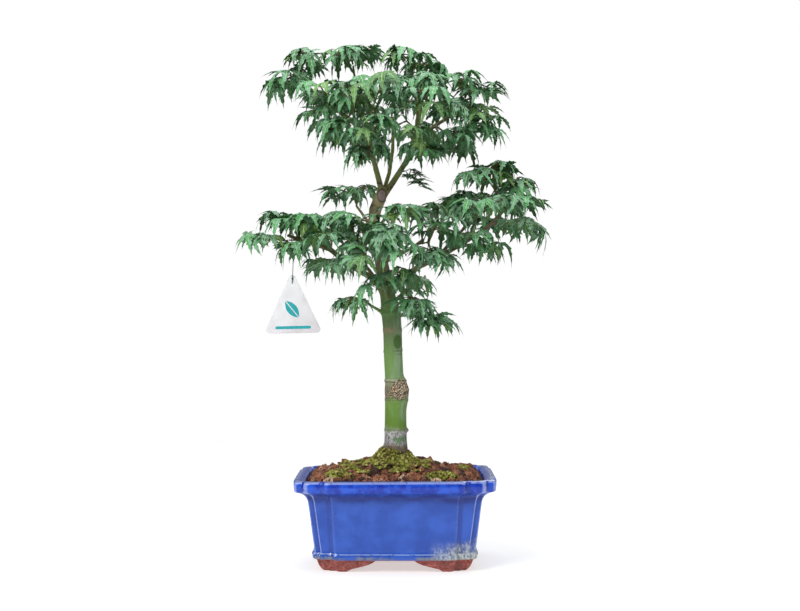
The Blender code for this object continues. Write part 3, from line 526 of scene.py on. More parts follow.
finder = KDTree(len(sharp_points))
for index, (point, _, _) in enumerate(sharp_points):
    finder.insert(point, index)
finder.balance()
arris = pot.data.attributes.new("arris", "FLOAT", "POINT")
wetted = pot.data.attributes.new("wetted", "FLOAT", "POINT")
for index, vertex in enumerate(pot.data.vertices):
    _, found, distance = finder.find(vertex.co)
    if distance < 2 * MM:
        arris.data[index].value, wetted.data[index].value = sharp_points[found][1:]
for vertex in pot.data.vertices:
    lean = max(0.0, -vertex.co.x / RIM_X)
    vertex.co.z -= 1.3 * MM * lean ** 2 * (vertex.co.z / POT_TOP) ** 4
pot.data.shade_smooth()
pot.data.set_sharp_from_angle(angle=math.radians(48))

glaze, wire = new_finish("cobalt_glaze", Coat_Roughness=0.06, Coat_IOR=1.5, Specular_IOR_Level=0.22)
x, y, z = place_on(wire).xyz()
arris_mask = wire.read("arris")
mottle = grain(wire, 16 * MM, 4.0)
fine = grain(wire, 2.2 * MM, 3.0)
runs = grain(wire, 5 * MM, 3.0, (1.0, 1.0, 0.22))
body = mottle.between(0.35, 0.68).mix((32, 74, 168), (46, 90, 190))
rim = grain(wire, 7 * MM).between(0.38, 0.64).mix((16, 50, 166), (36, 86, 206))
colour = (z + (mottle - 0.5) * 0.006).between(63.2 * MM, 65.8 * MM).mix(body, rim)
# Glaze pooling and painted shadow: a darker band just under the rim's overhang.
pooled_glaze_and_shadow = (z + (grain(wire, 14 * MM) - 0.5) * 0.010).near(60.4 * MM, 6.0 * MM) * 0.85
colour = pooled_glaze_and_shadow.mix(colour, (6, 32, 120))
# Painted sheen: the rim's flat top is paler in patches, a painted reflection of the white room.
painted_rim_sheen = z.between(73.6 * MM, 74.3 * MM) * fine.between(0.25, 0.6) * 0.35
colour = painted_rim_sheen.mix(colour, (120, 142, 216))
# Partly glaze breaking thin, partly painted highlight: pale lines along the arrises, the panel edges and the
# rim's brow.
thin = (arris_mask.between(0.28, 0.98) * fine.between(0.15, 0.5) * 0.8).clamped()
colour = thin.mix(colour, (150, 166, 222))
colour = ((-1.0 * arris_mask).between(0.05, 0.6) * 0.5).mix(colour, (30, 58, 146))
foot_band = (z + (runs - 0.5) * 0.006).between(13.8 * MM, 11.6 * MM) * mottle.between(0.62, 0.42)
colour = (foot_band * 0.8).mix(colour, runs.between(0.42, 0.58).mix((128, 134, 134), (70, 92, 140)))
# Painted highlight: a pale line along the top of the foot band.
band_top_highlight = (z + (grain(wire, 20 * MM) - 0.5) * 0.0012).near(14.9 * MM, 0.9 * MM) * fine.between(0.3, 0.5)
colour = (band_top_highlight * 0.55).mix(colour, (170, 188, 226))
mealy = grain(wire, 1.6 * MM, 4.0, (1.0, 1.0, 0.5), 0.6)
low_down = (z + (mottle - 0.5) * 0.016 + (runs - 0.5) * 0.010).between(28 * MM, 10 * MM)
patch = low_down * (x + (mottle - 0.5) * 0.03).between(22 * MM, 46 * MM) * y.between(0.0, -0.03)
patch = (patch * (mealy.between(0.3, 0.6) * 0.35 + 0.75)).clamped()
colour = (patch * 0.85).mix(colour, mealy.between(0.36, 0.62).mix((108, 116, 116), (200, 204, 188)))
specks = wire.node("ShaderNodeTexVoronoi", None, {"Vector": place_on(wire), "Scale": 130.0})
specks = specks.between(0.085, 0.05)
colour = (specks * 0.8).mix(colour, (24, 34, 70))
clay = fine.between(0.3, 0.7).mix((124, 60, 54), (176, 106, 98))
clay = grain(wire, 9 * MM).between(0.45, 0.7).mix(clay, (120, 72, 66))
glazed = (z + (grain(wire, 6 * MM) - 0.5) * 0.0016).between(9.9 * MM, 10.4 * MM)
glazed = glazed * wire.read("wetted").between(0.3, 0.9)
wire.finish(Base_Color=glazed.mix(clay, colour))
wire.finish(Roughness=0.85 - glazed * (0.66 - patch * 0.25))
wire.finish(Coat_Weight=glazed * (0.42 - patch * 0.2))
waves = grain(wire, 11 * MM, 2.0) + fine * 0.06
wire.finish(Normal=bump(wire, glazed * waves + (1.0 - glazed) * fine * 0.8, 0.45 * MM))
pot.data.materials.clear()
pot.data.materials.append(glaze)
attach(pot, "root")
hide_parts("pot")

# ---- drain screens and their clips ---------------------------------------------------------------
# Moulded black netting over each drain hole, pinned by a staple of galvanised wire that is bent out
# under the floor. Both keep their solids' shape.
netting, wire = new_finish("black_netting", IOR=1.48)
scuffs = grain(wire, 1.5 * MM).between(0.5, 0.7)
wire.finish(Base_Color=scuffs.mix((22, 22, 23), (58, 56, 52)))
wire.finish(Roughness=0.45 + scuffs * 0.3)
staple, wire = new_finish("galvanised_wire", Metallic=1.0)
bloom = grain(wire, 1.2 * MM).between(0.35, 0.7)
wire.finish(Base_Color=bloom.mix((150, 152, 152), (198, 200, 196)))
wire.finish(Roughness=0.3 + bloom * 0.25)
for side in ("left", "right"):
    for node, finish in ((f"drain_screen_{side}", netting), (f"screen_clip_{side}", staple)):
        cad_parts[node].data.materials.clear()
        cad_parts[node].data.materials.append(finish)

# ---- soil and its top dressing -------------------------------------------------------------------
# Dark potting grit, mounded round the trunk and dressed with red-brown lava granules of 4 to 9 mm.
# The granules lie loose on it, two sizes deep.
earth, wire = new_finish("dark_grit", Roughness=0.95)
crumbs = grain(wire, 2.5 * MM, 5.0)
wire.finish(Base_Color=crumbs.between(0.35, 0.65).mix((34, 22, 17), (84, 52, 38)))
wire.finish(Normal=bump(wire, crumbs, 1.2 * MM))
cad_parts["soil"].data.materials.clear()
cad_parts["soil"].data.materials.append(earth)

lava, wire = new_finish("lava_granules", Roughness=0.92)
shade = wire.read("shade")
tones = wire.node("ShaderNodeValToRGB", {"stops": (
    (0.0, (66, 52, 54)), (0.15, (104, 70, 58)), (0.45, (150, 96, 70)), (0.75, (188, 126, 94)),
    (0.93, (214, 162, 128)), (1.0, (240, 208, 176)))}, {0: shade})
pits = grain(wire, 1.3 * MM, 4.0, EVEN, 0.65)
pitted = pits.between(0.36, 0.53)
wire.finish(Base_Color=pitted.mix((62, 38, 32), tones))
wire.finish(Normal=bump(wire, pits, 1.6 * MM))


def copy_of(node, name):
    """Loose copy of a CAD node with its triangles joined up, and no finish."""
    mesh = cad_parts[node].data.copy()
    mesh.materials.clear()
    work = bmesh.new()
    work.from_mesh(mesh)
    bmesh.ops.remove_doubles(work, verts=work.verts, dist=1e-6)
    work.to_mesh(mesh)
    work.free()
    for attribute in [a.name for a in mesh.attributes if a.name == "custom_normal"]:
        mesh.attributes.remove(mesh.attributes[attribute])
    mesh.name = name
    return link(bpy.data.objects.new(name, mesh))


def keep_faces(obj, wanted):
    """Deletes the faces whose middle and normal don't pass the test."""
    work = bmesh.new()
    work.from_mesh(obj.data)
    work.normal_update()
    lost = [face for face in work.faces if not wanted(face.calc_center_median(), face.normal)]
    bmesh.ops.delete(work, geom=lost, context="FACES")
    work.to_mesh(obj.data)
    work.free()
    return obj


def new_tree(name, inputs):
    """Geometry tree with a surface going in, named inputs, and the wires of all of them."""
    tree = bpy.data.node_groups.new(name, "GeometryNodeTree")
    tree.interface.new_socket("Geometry", in_out="INPUT", socket_type="NodeSocketGeometry")
    for title, kind in inputs.items():
        tree.interface.new_socket(title, in_out="INPUT", socket_type=f"NodeSocket{kind}")
    tree.interface.new_socket("Geometry", in_out="OUTPUT", socket_type="NodeSocketGeometry")
    entry = tree.nodes.new("NodeGroupInput")
    return tree, [Wire(tree, socket) for socket in entry.outputs if socket.name]


def end_tree(tree, geometry, finish, rounded):
    """Ends a tree in real geometry with its finish, shaded round or in facets."""
    real = geometry.node("GeometryNodeRealizeInstances", None, {0: geometry})
    shaded = real.node("GeometryNodeSetShadeSmooth", None, {0: real, 2: rounded})
    done = shaded.node("GeometryNodeSetMaterial", None, {0: shaded, 2: finish})
    tree.links.new(done.socket, tree.nodes.new("NodeGroupOutput").inputs[0])


def run_tree(obj, tree, values):
    """Runs a tree on an object with its named inputs set, and makes the result a plain mesh."""
    modifier = obj.modifiers.new(tree.name, "NODES")
    modifier.node_group = tree
    for item in tree.interface.items_tree:
        if item.in_out == "INPUT" and item.name in values:
            modifier[item.identifier] = values[item.name]
    return settled(obj)


def random_value(wire, low, high, seed, kind="FLOAT"):
    out = ("FLOAT_VECTOR", "FLOAT", "INT").index(kind)
    ends = {2 * out: low, 2 * out + 1: high, 8: seed}
    return wire.node("FunctionNodeRandomValue", {"data_type": kind}, ends, out)


def shaded_copies(wire, seed, **sockets):
    """Copies laid on points, each carrying a random shade of its own."""
    laid = wire.node("GeometryNodeInstanceOnPoints", None, {
        name.replace("_", " "): value for name, value in sockets.items()})
    return wire.node("GeometryNodeStoreNamedAttribute", {"data_type": "FLOAT", "domain": "INSTANCE"}, {
        "Geometry": laid, "Name": "shade", "Value": random_value(wire, 0.0, 1.0, seed + 1.0)})


def scattered(surface, spacing, densest, seed):
    """Points on a surface, no two nearer than the spacing."""
    return surface.node("GeometryNodeDistributePointsOnFaces", {"distribute_method": "POISSON"}, {
        "Mesh": surface, "Distance Min": spacing, "Density Max": densest, "Seed": seed})


granule_tree, (surface, spacing, smallest, largest, seed) = new_tree(
    "scatter_granules", {"Spacing": "Float", "Smallest": "Float", "Largest": "Float", "Seed": "Int"})
spots = scattered(surface, spacing, 3e5, seed)
stones = surface.node("GeometryNodeJoinGeometry")
for variant in range(5):
    ball = surface.node("GeometryNodeMeshIcoSphere", None, {"Radius": 0.5, "Subdivisions": 2})
    lumps = surface.node("ShaderNodeTexNoise", {"noise_dimensions": "4D"}, {
        "W": 7.3 * variant, "Scale": 2.3, "Detail": 3.0, "Roughness": 0.7}, 0)
    push = surface.node("ShaderNodeVectorMath", {"operation": "SCALE"}, {
        0: surface.node("GeometryNodeInputNormal"), 3: (lumps - 0.52) * 1.5})
    stone = surface.node("GeometryNodeSetPosition", None, {"Geometry": ball, "Offset": push})
    stone = surface.node("GeometryNodeGeometryToInstance", None, {0: stone})
    surface.tree.links.new(stone.socket, stones.socket.node.inputs[0])
size = random_value(surface, smallest, largest, seed)
stretch = random_value(surface, (0.8, 0.75, 0.55), (1.25, 1.1, 0.85), seed, "FLOAT_VECTOR")
scale = surface.node("ShaderNodeVectorMath", {"operation": "SCALE"}, {0: stretch, 3: size})
turn = random_value(surface, (0.0, 0.0, 0.0), (6.28, 6.28, 6.28), seed, "FLOAT_VECTOR")
laid = shaded_copies(surface, seed, Points=spots, Instance=stones, Pick_Instance=True, Rotation=turn,
                     Scale=scale, Instance_Index=random_value(surface, 0, 4, seed, "INT"))
end_tree(granule_tree, laid, lava, False)

SOIL_EDGE = 71.5 * MM


def soil_top(name):
    """Copy of the soil's upper face alone."""
    return keep_faces(copy_of("soil", name), lambda middle, normal: normal.z > 0.25 and middle.z > SOIL_EDGE)


granules = []
for name, shrink, lift, spacing, smallest, largest, seed in (
        ("granules_large", 0.93, 0.3, 5.9, 6.0, 11.0, 4), ("granules_small", 0.955, 0.2, 3.4, 3.0, 5.2, 9)):
    bed = soil_top(name)
    bed.data.transform(Matrix.Translation((0, 0, lift * MM)) @ Matrix.Diagonal((shrink, shrink, 1, 1)))
    run_tree(bed, granule_tree, {"Spacing": spacing * MM, "Smallest": smallest * MM, "Largest": largest * MM,
                                 "Seed": seed})
    granules.append(bed)
for piece in granules:
    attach(piece, "root")

# ---- moss ----------------------------------------------------------------------------------------
# Cushions of live moss pressed on the soil round the trunk's foot and in four patches near the rim.
# Each is a felted pad under short leafy shoots with pale tips.
moss_finish, wire = new_finish("cushion_moss", Roughness=0.9)
shade = wire.read("shade")
tip = wire.read("tip")
young = wire.node("ShaderNodeValToRGB", {"stops": (
    (0.0, (86, 62, 40)), (0.25, (112, 96, 44)), (0.5, (128, 138, 48)), (0.8, (172, 176, 76)),
    (1.0, (222, 216, 136)))}, {0: shade})
old = shade.mix((26, 24, 12), (58, 60, 22))
wire.finish(Base_Color=tip.between(0.1, 0.9).mix(old, young))
wire.finish(Normal=bump(wire, grain(wire, 0.8 * MM), 0.3 * MM))

SHOOTS = 7
tuft_points, tuft_faces, tuft_tips = [], [], []
for shoot in range(SHOOTS):
    turn = 2 * math.pi * shoot / (SHOOTS - 1)
    lean = 0.0 if shoot == SHOOTS - 1 else 0.62
    along = Vector((math.cos(turn) * lean, math.sin(turn) * lean, 1.0)).normalized()
    side = along.orthogonal().normalized()
    other = along.cross(side)
    first = len(tuft_points)
    for height, width in ((0.0, 0.16), (0.62, 0.24)):
        tuft_points += [along * height + width * (math.cos(a) * side + math.sin(a) * other)
                        for a in (2 * math.pi * k / 3 for k in range(3))]
        tuft_tips += [0.0 if height == 0 else 0.75] * 3
    tuft_points.append(along * 1.0)
    tuft_tips.append(1.0)
    tuft_faces.append((first + 2, first + 1, first))
    for k in range(3):
        n = (k + 1) % 3
        tuft_faces += [(first + k, first + n, first + 3 + n, first + 3 + k),
                       (first + 3 + k, first + 3 + n, first + 6)]
tuft = solid("moss_tuft", tuft_points, tuft_faces)
tuft.data.attributes.new("tip", "FLOAT", "POINT").data.foreach_set("value", tuft_tips)

moss_tree, (surface, spacing, shortest, longest, pad_shown, seed) = new_tree(
    "grow_moss", {"Spacing": "Float", "Shortest": "Float", "Longest": "Float", "Pad": "Float", "Seed": "Int"})
spots = scattered(surface, spacing, 4e6, seed)
normal_turn = Wire(spots.tree, spots.socket.node.outputs["Rotation"])
shoot = surface.node("GeometryNodeObjectInfo", None, {"Object": tuft}, 4)
turn = random_value(surface, (-0.5, -0.5, 0.0), (0.5, 0.5, 6.28), seed, "FLOAT_VECTOR")
turn = surface.node("FunctionNodeEulerToRotation", None, {0: turn})
turn = surface.node("FunctionNodeRotateRotation", {"rotation_space": "LOCAL"}, {0: normal_turn, 1: turn})
grown = shaded_copies(surface, seed, Points=spots, Instance=shoot, Rotation=turn,
                      Scale=random_value(surface, shortest, longest, seed))
kept = surface.node("GeometryNodeDeleteGeometry", {"domain": "FACE"}, {0: surface, 1: pad_shown.math(
    "LESS_THAN", pad_shown, 0.5)})
both = surface.node("GeometryNodeJoinGeometry")
for part in (grown, kept):
    surface.tree.links.new(part.socket, both.socket.node.inputs[0])
end_tree(moss_tree, both, moss_finish, True)


def grow_moss(obj, spacing, shortest, longest, pad, seed):
    """Covers a pad in shoots, sizes in millimetres, and keeps the pad itself if `pad` is 1."""
    run_tree(obj, moss_tree, {"Spacing": spacing * MM, "Shortest": shortest * MM, "Longest": longest * MM,
                              "Pad": pad, "Seed": seed})


SOIL_CROWN = 84.4 * MM
MOUND_FOOT, MOUND_FALL = 10 * MM, 7.5 * MM      # where the mound's slope starts, and how fast it falls
cushions = []
for number, node in enumerate(("moss_mound", "moss_patch_1", "moss_patch_2", "moss_patch_3", "moss_patch_4")):
    cushion = copy_of(node, node.replace("moss", "living_moss"))
    rounder = cushion.modifiers.new("rounder", "SUBSURF")
    rounder.levels = rounder.render_levels = 2 if node == "moss_mound" else 1
    settled(cushion)
    for vertex in cushion.data.vertices:
        far = vertex.co.xy.length
        if node == "moss_mound" and far > 10.5 * MM:
            slope = math.exp(-(far - MOUND_FOOT) / MOUND_FALL) * (15 - 2.5 * vertex.co.x / far) * MM
            vertex.co.z = min(vertex.co.z, SOIL_CROWN - 4 * MM + slope)
        vertex.co.z += noise.noise(vertex.co * 170) * 1.3 * MM
    grow_moss(cushion, 1.05, 1.1, 2.5, 1.0, 20 + number)
    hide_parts(node)
    cushions.append(cushion)
creeping = soil_top("creeping_moss")
cut_finer = creeping.modifiers.new("finer", "SUBSURF")
cut_finer.subdivision_type = "SIMPLE"
cut_finer.levels = cut_finer.render_levels = 4
settled(creeping)


def mossy(middle, normal):
    """Whether moss creeps over this spot: in ragged patches round the trunk."""
    spread = ((middle.x + 0.004) / 0.042) ** 2 + ((middle.y + 0.004) / 0.030) ** 2
    bare = noise.noise(middle * 110 + Vector((3, 1, 2))) <= -0.05
    return spread < 1 + 0.8 * noise.noise(middle * 60) and not bare


keep_faces(creeping, mossy)
creeping.data.transform(Matrix.Translation((0, 0, 2.6 * MM)))
grow_moss(creeping, 1.25, 1.2, 2.8, 0.0, 31)
cushions.append(creeping)
for piece in cushions:
    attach(piece, "root")
bpy.data.objects.remove(tuft)

# ---- trunk, limbs and branchlets -----------------------------------------------------------------
# One living stem with thin green bark. It carries ring scars, a corky callus where a limb was cut off,
# a chalky lime bloom at the foot, and browner young wood above.
TRUNK_LINE = ((0.085, 0.3), (0.126, 0.4), (0.143, 1.4), (0.155, -0.8), (0.192, -2.2), (0.207, -3.4),
              (0.219, -5.9))
CALLUS_HEIGHT, CALLUS_TURN = 143.5 * MM, math.radians(-70)
RINGS = ((206.0, 1.4, 0.4), (192.0, 1.6, 0.30), (175.0, 1.1, 0.35), (150.6, 1.1, 0.75), (134.6, 1.4, 0.3),
         (109.5, 1.3, 0.35))
wood = copy_of("trunk_and_branches", "living_wood")
even = wood.modifiers.new("even", "REMESH")
even.mode, even.voxel_size = "VOXEL", 0.9 * MM
soft = wood.modifiers.new("soft", "SMOOTH")
soft.iterations, soft.factor = 4, 0.5
settled(wood)
for vertex in wood.data.vertices:
    place = vertex.co
    axis = np.interp(place.z, *zip(*TRUNK_LINE)) * MM
    out = Vector((place.x - axis, place.y, 0))
    girth = out.length
    if not 0.086 < place.z < 0.216 or girth > 13.5 * MM or girth < 4.5 * MM:
        continue
    turn = math.atan2(out.y, out.x)
    push = 0.35 * noise.noise(Vector((place.x * 60, place.y * 60, place.z * 34)))
    push += 2.4 * max(0.0, (0.1 - place.z) / (11 * MM)) ** 1.3 * (0.6 - 0.5 * math.cos(turn))
    for height, width, rise in RINGS:
        push += rise * math.exp(-((place.z / MM - height + 0.8 * math.sin(turn + height)) / width) ** 2)
    swing = (turn - CALLUS_TURN + math.pi) % (2 * math.pi) - math.pi
    far = math.hypot(swing * girth / (8.6 * MM), (place.z - CALLUS_HEIGHT) / (8.6 * MM))
    if far < 1.3:
        push += 0.9 * max(0.0, 1 - far ** 3) + 0.7 * math.exp(-((far - 0.95) / 0.12) ** 2)
        push += 1.1 * max(0.0, 1.05 - far) * noise.noise(place * 480)
    push += 1.5 * math.exp(-(math.hypot((turn - 0.05) * girth, place.z - 109.5 * MM) / (1.9 * MM)) ** 2)
    vertex.co += out.normalized() * (push * MM)
wood.data.shade_smooth()

bark, wire = new_finish("green_bark", Specular_IOR_Level=0.35)
x, y, z = place_on(wire).xyz()
streaks = grain(wire, 4 * MM, 4.0, (1.0, 1.0, 0.16))
blots = grain(wire, 8 * MM, 4.0)
fine = grain(wire, 1.3 * MM, 4.0, EVEN, 0.6)
level = z + (blots - 0.5) * 0.010 + (fine - 0.5) * 0.004
BARK_TONES = ((88, (88, 70, 52)), (96, (118, 104, 90)), (100, (164, 162, 164)), (107, (168, 168, 160)),
              (110, (122, 140, 92)), (114, (96, 132, 42)), (125, (98, 136, 40)), (133, (106, 142, 58)),
              (138, (124, 140, 88)), (150, (132, 134, 106)), (153, (108, 138, 84)), (165, (106, 140, 80)),
              (176, (102, 134, 76)), (187, (102, 124, 78)), (192, (126, 120, 92)), (197, (96, 118, 80)),
              (206, (86, 122, 66)), (235, (110, 112, 68)), (270, (126, 118, 86)), (298, (148, 138, 102)),
              (312, (142, 138, 92)), (319, (148, 156, 92)), (345, (122, 134, 66)), (400, (98, 110, 54)))
low_tone, high_tone = BARK_TONES[0][0], BARK_TONES[-1][0]
colour = wire.node("ShaderNodeValToRGB", {"stops": [
    ((height - low_tone) / (high_tone - low_tone), tone) for height, tone in BARK_TONES]},
    {0: (level / MM - low_tone) / (high_tone - low_tone)})
on_stem = z.between(0.222, 0.205)
glaucous = (streaks.between(0.40, 0.62) * 0.7 + 0.2) * (x + (blots - 0.5) * 0.012).between(-0.008, 0.006)
glaucous = glaucous * level.between(0.112, 0.124)
colour = (glaucous * on_stem * 0.85).mix(colour, (136, 162, 126))
limy = streaks.between(0.56, 0.40) * x.between(0.0, -0.006) * z.between(0.150, 0.156) * on_stem
colour = (limy * 0.55).mix(colour, (110, 148, 54))
dark_run = streaks.between(0.36, 0.28) * on_stem * z.between(0.11, 0.12)
colour = (dark_run * 0.5).mix(colour, (74, 100, 44))
flecks = wire.node("ShaderNodeTexVoronoi", None, {"Vector": place_on(wire), "Scale": 360.0})
colour = (flecks.between(0.13, 0.07) * 0.55 * on_stem).mix(colour, (88, 84, 44))
chalk = fine.between(0.44, 0.56) * level.near(0.1045, 0.009)
colour = (chalk * 0.8).mix(colour, (212, 210, 214))
scurf = fine.between(0.50, 0.38) * level.between(0.112, 0.102)
colour = (scurf * 0.85).mix(colour, (86, 74, 62))
front = y.between(0.0, -0.003)
living = blots.between(0.52, 0.58) + x.near(0.0056, 0.003) * z.near(0.1025, 0.005) * front
colour = (living.clamped() * level.near(0.104, 0.010) * 0.75).mix(colour, (84, 136, 72))
shaded_limb = x.between(0.016, 0.030) * z.between(0.222, 0.235)
colour = (shaded_limb * 0.75).mix(colour, (72, 66, 52))
# A dark green patch on the front of the stem.
off_x, off_z = (x - 0.0019) / 0.0033, (z - 0.1825) / 0.0058
dark_green_patch = (off_x * off_x + off_z * off_z + (fine - 0.5) * 1.2 + (blots - 0.5)).between(1.3, 0.7) * front
colour = (dark_green_patch * 0.85).mix(colour, (58, 96, 26))
dull_side = x.between(0.003, 0.0062) * z.between(0.168, 0.176) * on_stem * blots.between(0.36, 0.5)
colour = (dull_side * 0.6).mix(colour, (112, 110, 88))
off_x, off_z = (x - 0.0044) / 0.0076, (z - CALLUS_HEIGHT) / 0.0080
far_out = off_x * off_x + off_z * off_z
corky = (far_out + (fine - 0.5) * 0.9 + (blots - 0.5) * 0.9).between(1.2, 0.95) * front
flaky = (z.near(0.1405, 0.0085) * x.between(0.0, -0.004) * y.between(0.004, 0.0) * fine.between(0.34, 0.5))
corky = (corky + flaky).clamped()
shaken = wire.node("ShaderNodeVectorMath", {"operation": "MULTIPLY_ADD"}, {
    0: grain(wire, 3 * MM), 1: (0.014, 0.010, 0.018), 2: place_on(wire, (1.0, 1.0, 1.3))})
folds = wire.node("ShaderNodeTexVoronoi", {"feature": "DISTANCE_TO_EDGE"}, {"Vector": shaken, "Scale": 400.0})
folds = folds.between(0.01, 0.16)
cork = folds.mix((84, 68, 54), fine.between(0.4, 0.6).mix((226, 214, 184), (176, 156, 124)))
cork = (blots.between(0.54, 0.62) * 0.45).mix(cork, (158, 118, 100))
colour = corky.mix(colour, cork)
pale_ring = z.near(0.1512, 0.0010) * fine.between(0.36, 0.50) * (1.0 - corky)
colour = (pale_ring * 0.7).mix(colour, (178, 172, 146))
ring_scars = z.near(0.1494, 0.0011) + z.near(0.1752, 0.0014) * x.between(-0.003, 0.002)
ring_scars = ring_scars + z.near(0.1345, 0.001) * 0.5 + z.near(0.1100, 0.0012) * 0.6
ring_scars = ring_scars + z.near(0.1725, 0.0010) * x.between(-0.001, 0.003) * 0.6
scarred = (ring_scars * fine.between(0.36, 0.52)).clamped() * (1.0 - corky)
colour = (scarred * 0.75).mix(colour, (82, 72, 54))
rosy = level.near(0.1925, 0.0032) * x.between(0.001, -0.003) * fine.between(0.40, 0.56)
colour = (rosy * 0.7).mix(colour, (166, 136, 116))
nodes_up = (z + x * 0.25 + (blots - 0.5) * 0.012) * 330.0
nodes_up = nodes_up.math("SINE", nodes_up).between(0.93, 0.99) * z.between(0.222, 0.235)
nodes_up = (nodes_up * 0.6 + z.near(0.3135, 0.0016) * x.between(-0.009, -0.012)
            + (z - x * 0.7).near(0.3125, 0.002) * x.between(-0.009, -0.006)).clamped()
colour = (nodes_up * fine.between(0.3, 0.5) * 0.8).mix(colour, (78, 62, 46))
off_x, off_z = (x + 0.0109) / 0.0036, (z - 0.3030) / 0.0052
wound = off_x * off_x + off_z * off_z + (fine - 0.5) * 1.2
colour = (wound.between(1.5, 1.1) * front * 0.85).mix(colour, (66, 50, 42))
colour = (wound.between(0.95, 0.6) * front).mix(colour, fine.mix((104, 84, 84), (182, 164, 156)))
wire.finish(Base_Color=colour)
wire.finish(Roughness=0.55 + corky * 0.35 + level.between(0.114, 0.100) * 0.3)
height = streaks * 0.25 + fine * 0.25 + corky * (folds * 1.2) + chalk * 0.3 - (ring_scars + nodes_up) * 0.3
wire.finish(Normal=bump(wire, height, 0.9 * MM))
wood.data.materials.append(bark)
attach(wood, "root")
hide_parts("trunk_and_branches")

# ---- leafy sprays --------------------------------------------------------------------------------
# Every spray is a forked red-green twig with its stalks and leaves, which grew as one. A leaf has seven
# narrow toothed lobes, folded along pale midribs, that arch out and droop to long thin tips.
LOBE_PROFILE = ((0.18, 0.42), (0.32, 0.90), (0.45, 1.0), (0.60, 0.80), (0.74, 0.44), (0.86, 0.20), (1.0, 0.0))
BLADE = 0.3 * MM

leaf_finish, wire = new_finish("maple_leaf", Specular_IOR_Level=0.35)
tint = wire.read("tint")
age = wire.read("age")
under = wire.read("under")
u, v, _ = wire.node("ShaderNodeUVMap", {"uv_map": "lobes"}).xyz()
beside = abs(u - 0.5) * 2.0
cloud = grain(wire, 4 * MM, 4.0)
green = tint.mix((16, 78, 26), (80, 164, 88))
green = (cloud.between(0.44, 0.60) * 0.72).mix(green, (138, 188, 156))
fresh = tint.mix((76, 124, 38), (122, 158, 62))
green = age.between(0.9, 0.4).mix(green, fresh)
ribs = ((v * 34.0 - beside * 3.2).math("SINE", v * 34.0 - beside * 3.2)).between(0.72, 1.0)
green = (ribs * 0.38).mix(green, (160, 196, 162))
midrib = beside.between(0.16, 0.05) * v.between(0.98, 0.85)
green = (midrib * 0.8).mix(green, (186, 216, 164))
# Painted highlight: the lobe margins are paler, as light catching the folded edges.
green = (beside.between(0.82, 0.98) * 0.6).mix(green, (176, 208, 182))
green = (v.between(0.9, 1.0) * 0.6).mix(green, (108, 100, 96))
# Painted shade: the undersides of the blades are darker green.
green = (under * 0.55).mix(green, (58, 100, 44))
wire.finish(Base_Color=green)
wire.finish(Roughness=0.40 + cloud * 0.25)
wire.finish(Normal=bump(wire, ribs * 0.3 - midrib + cloud * 0.5, 0.25 * MM))

twig_finish, wire = new_finish("maple_twig", IOR=1.45)
flush = grain(wire, 12 * MM, 3.0).between(0.42, 0.62)
twig_green = flush.mix((96, 112, 50), (84, 74, 46))
freckles = grain(wire, 2 * MM).between(0.5, 0.66)
wire.finish(Base_Color=(freckles * 0.4).mix(twig_green, (140, 146, 84)))
wire.finish(Roughness=0.45 + flush * 0.15)
wire.finish(Normal=bump(wire, grain(wire, 1.5 * MM, 3.0, (1.0, 1.0, 0.5)), 0.25 * MM))


class Foliage:
    """Blades and stalks of one spray as they are laid up, before they become its mesh."""

    def __init__(self):
        self.points, self.faces, self.corners, self.under, self.stalky = [], [], [], [], []
        self.tint, self.age = [], []
        self.leaf_tint, self.leaf_age = 0.5, 1.0

    def point(self, place):
        self.points.append(tuple(place))
        self.tint.append(self.leaf_tint)
        self.age.append(self.leaf_age)
        return len(self.points) - 1

    def face(self, indices, corners, under=0.0, stalky=0):
        self.faces.append(indices)
        self.corners += corners
        self.under.append(under)
        self.stalky.append(stalky)


def add_strip(foliage, near, far):
    """Skin of a lobe between two sections. A section is its right, left, middle and under points."""
    for start, end, under in ((2, 0, 0.0), (1, 2, 0.0), (3, 0, 1.0), (1, 3, 1.0)):
        way = [near[start], near[end], far[end], far[start]]
        corners = dict(way[:1] + way[:0:-1] if under else way)
        foliage.face(tuple(corners), list(corners.values()), under)


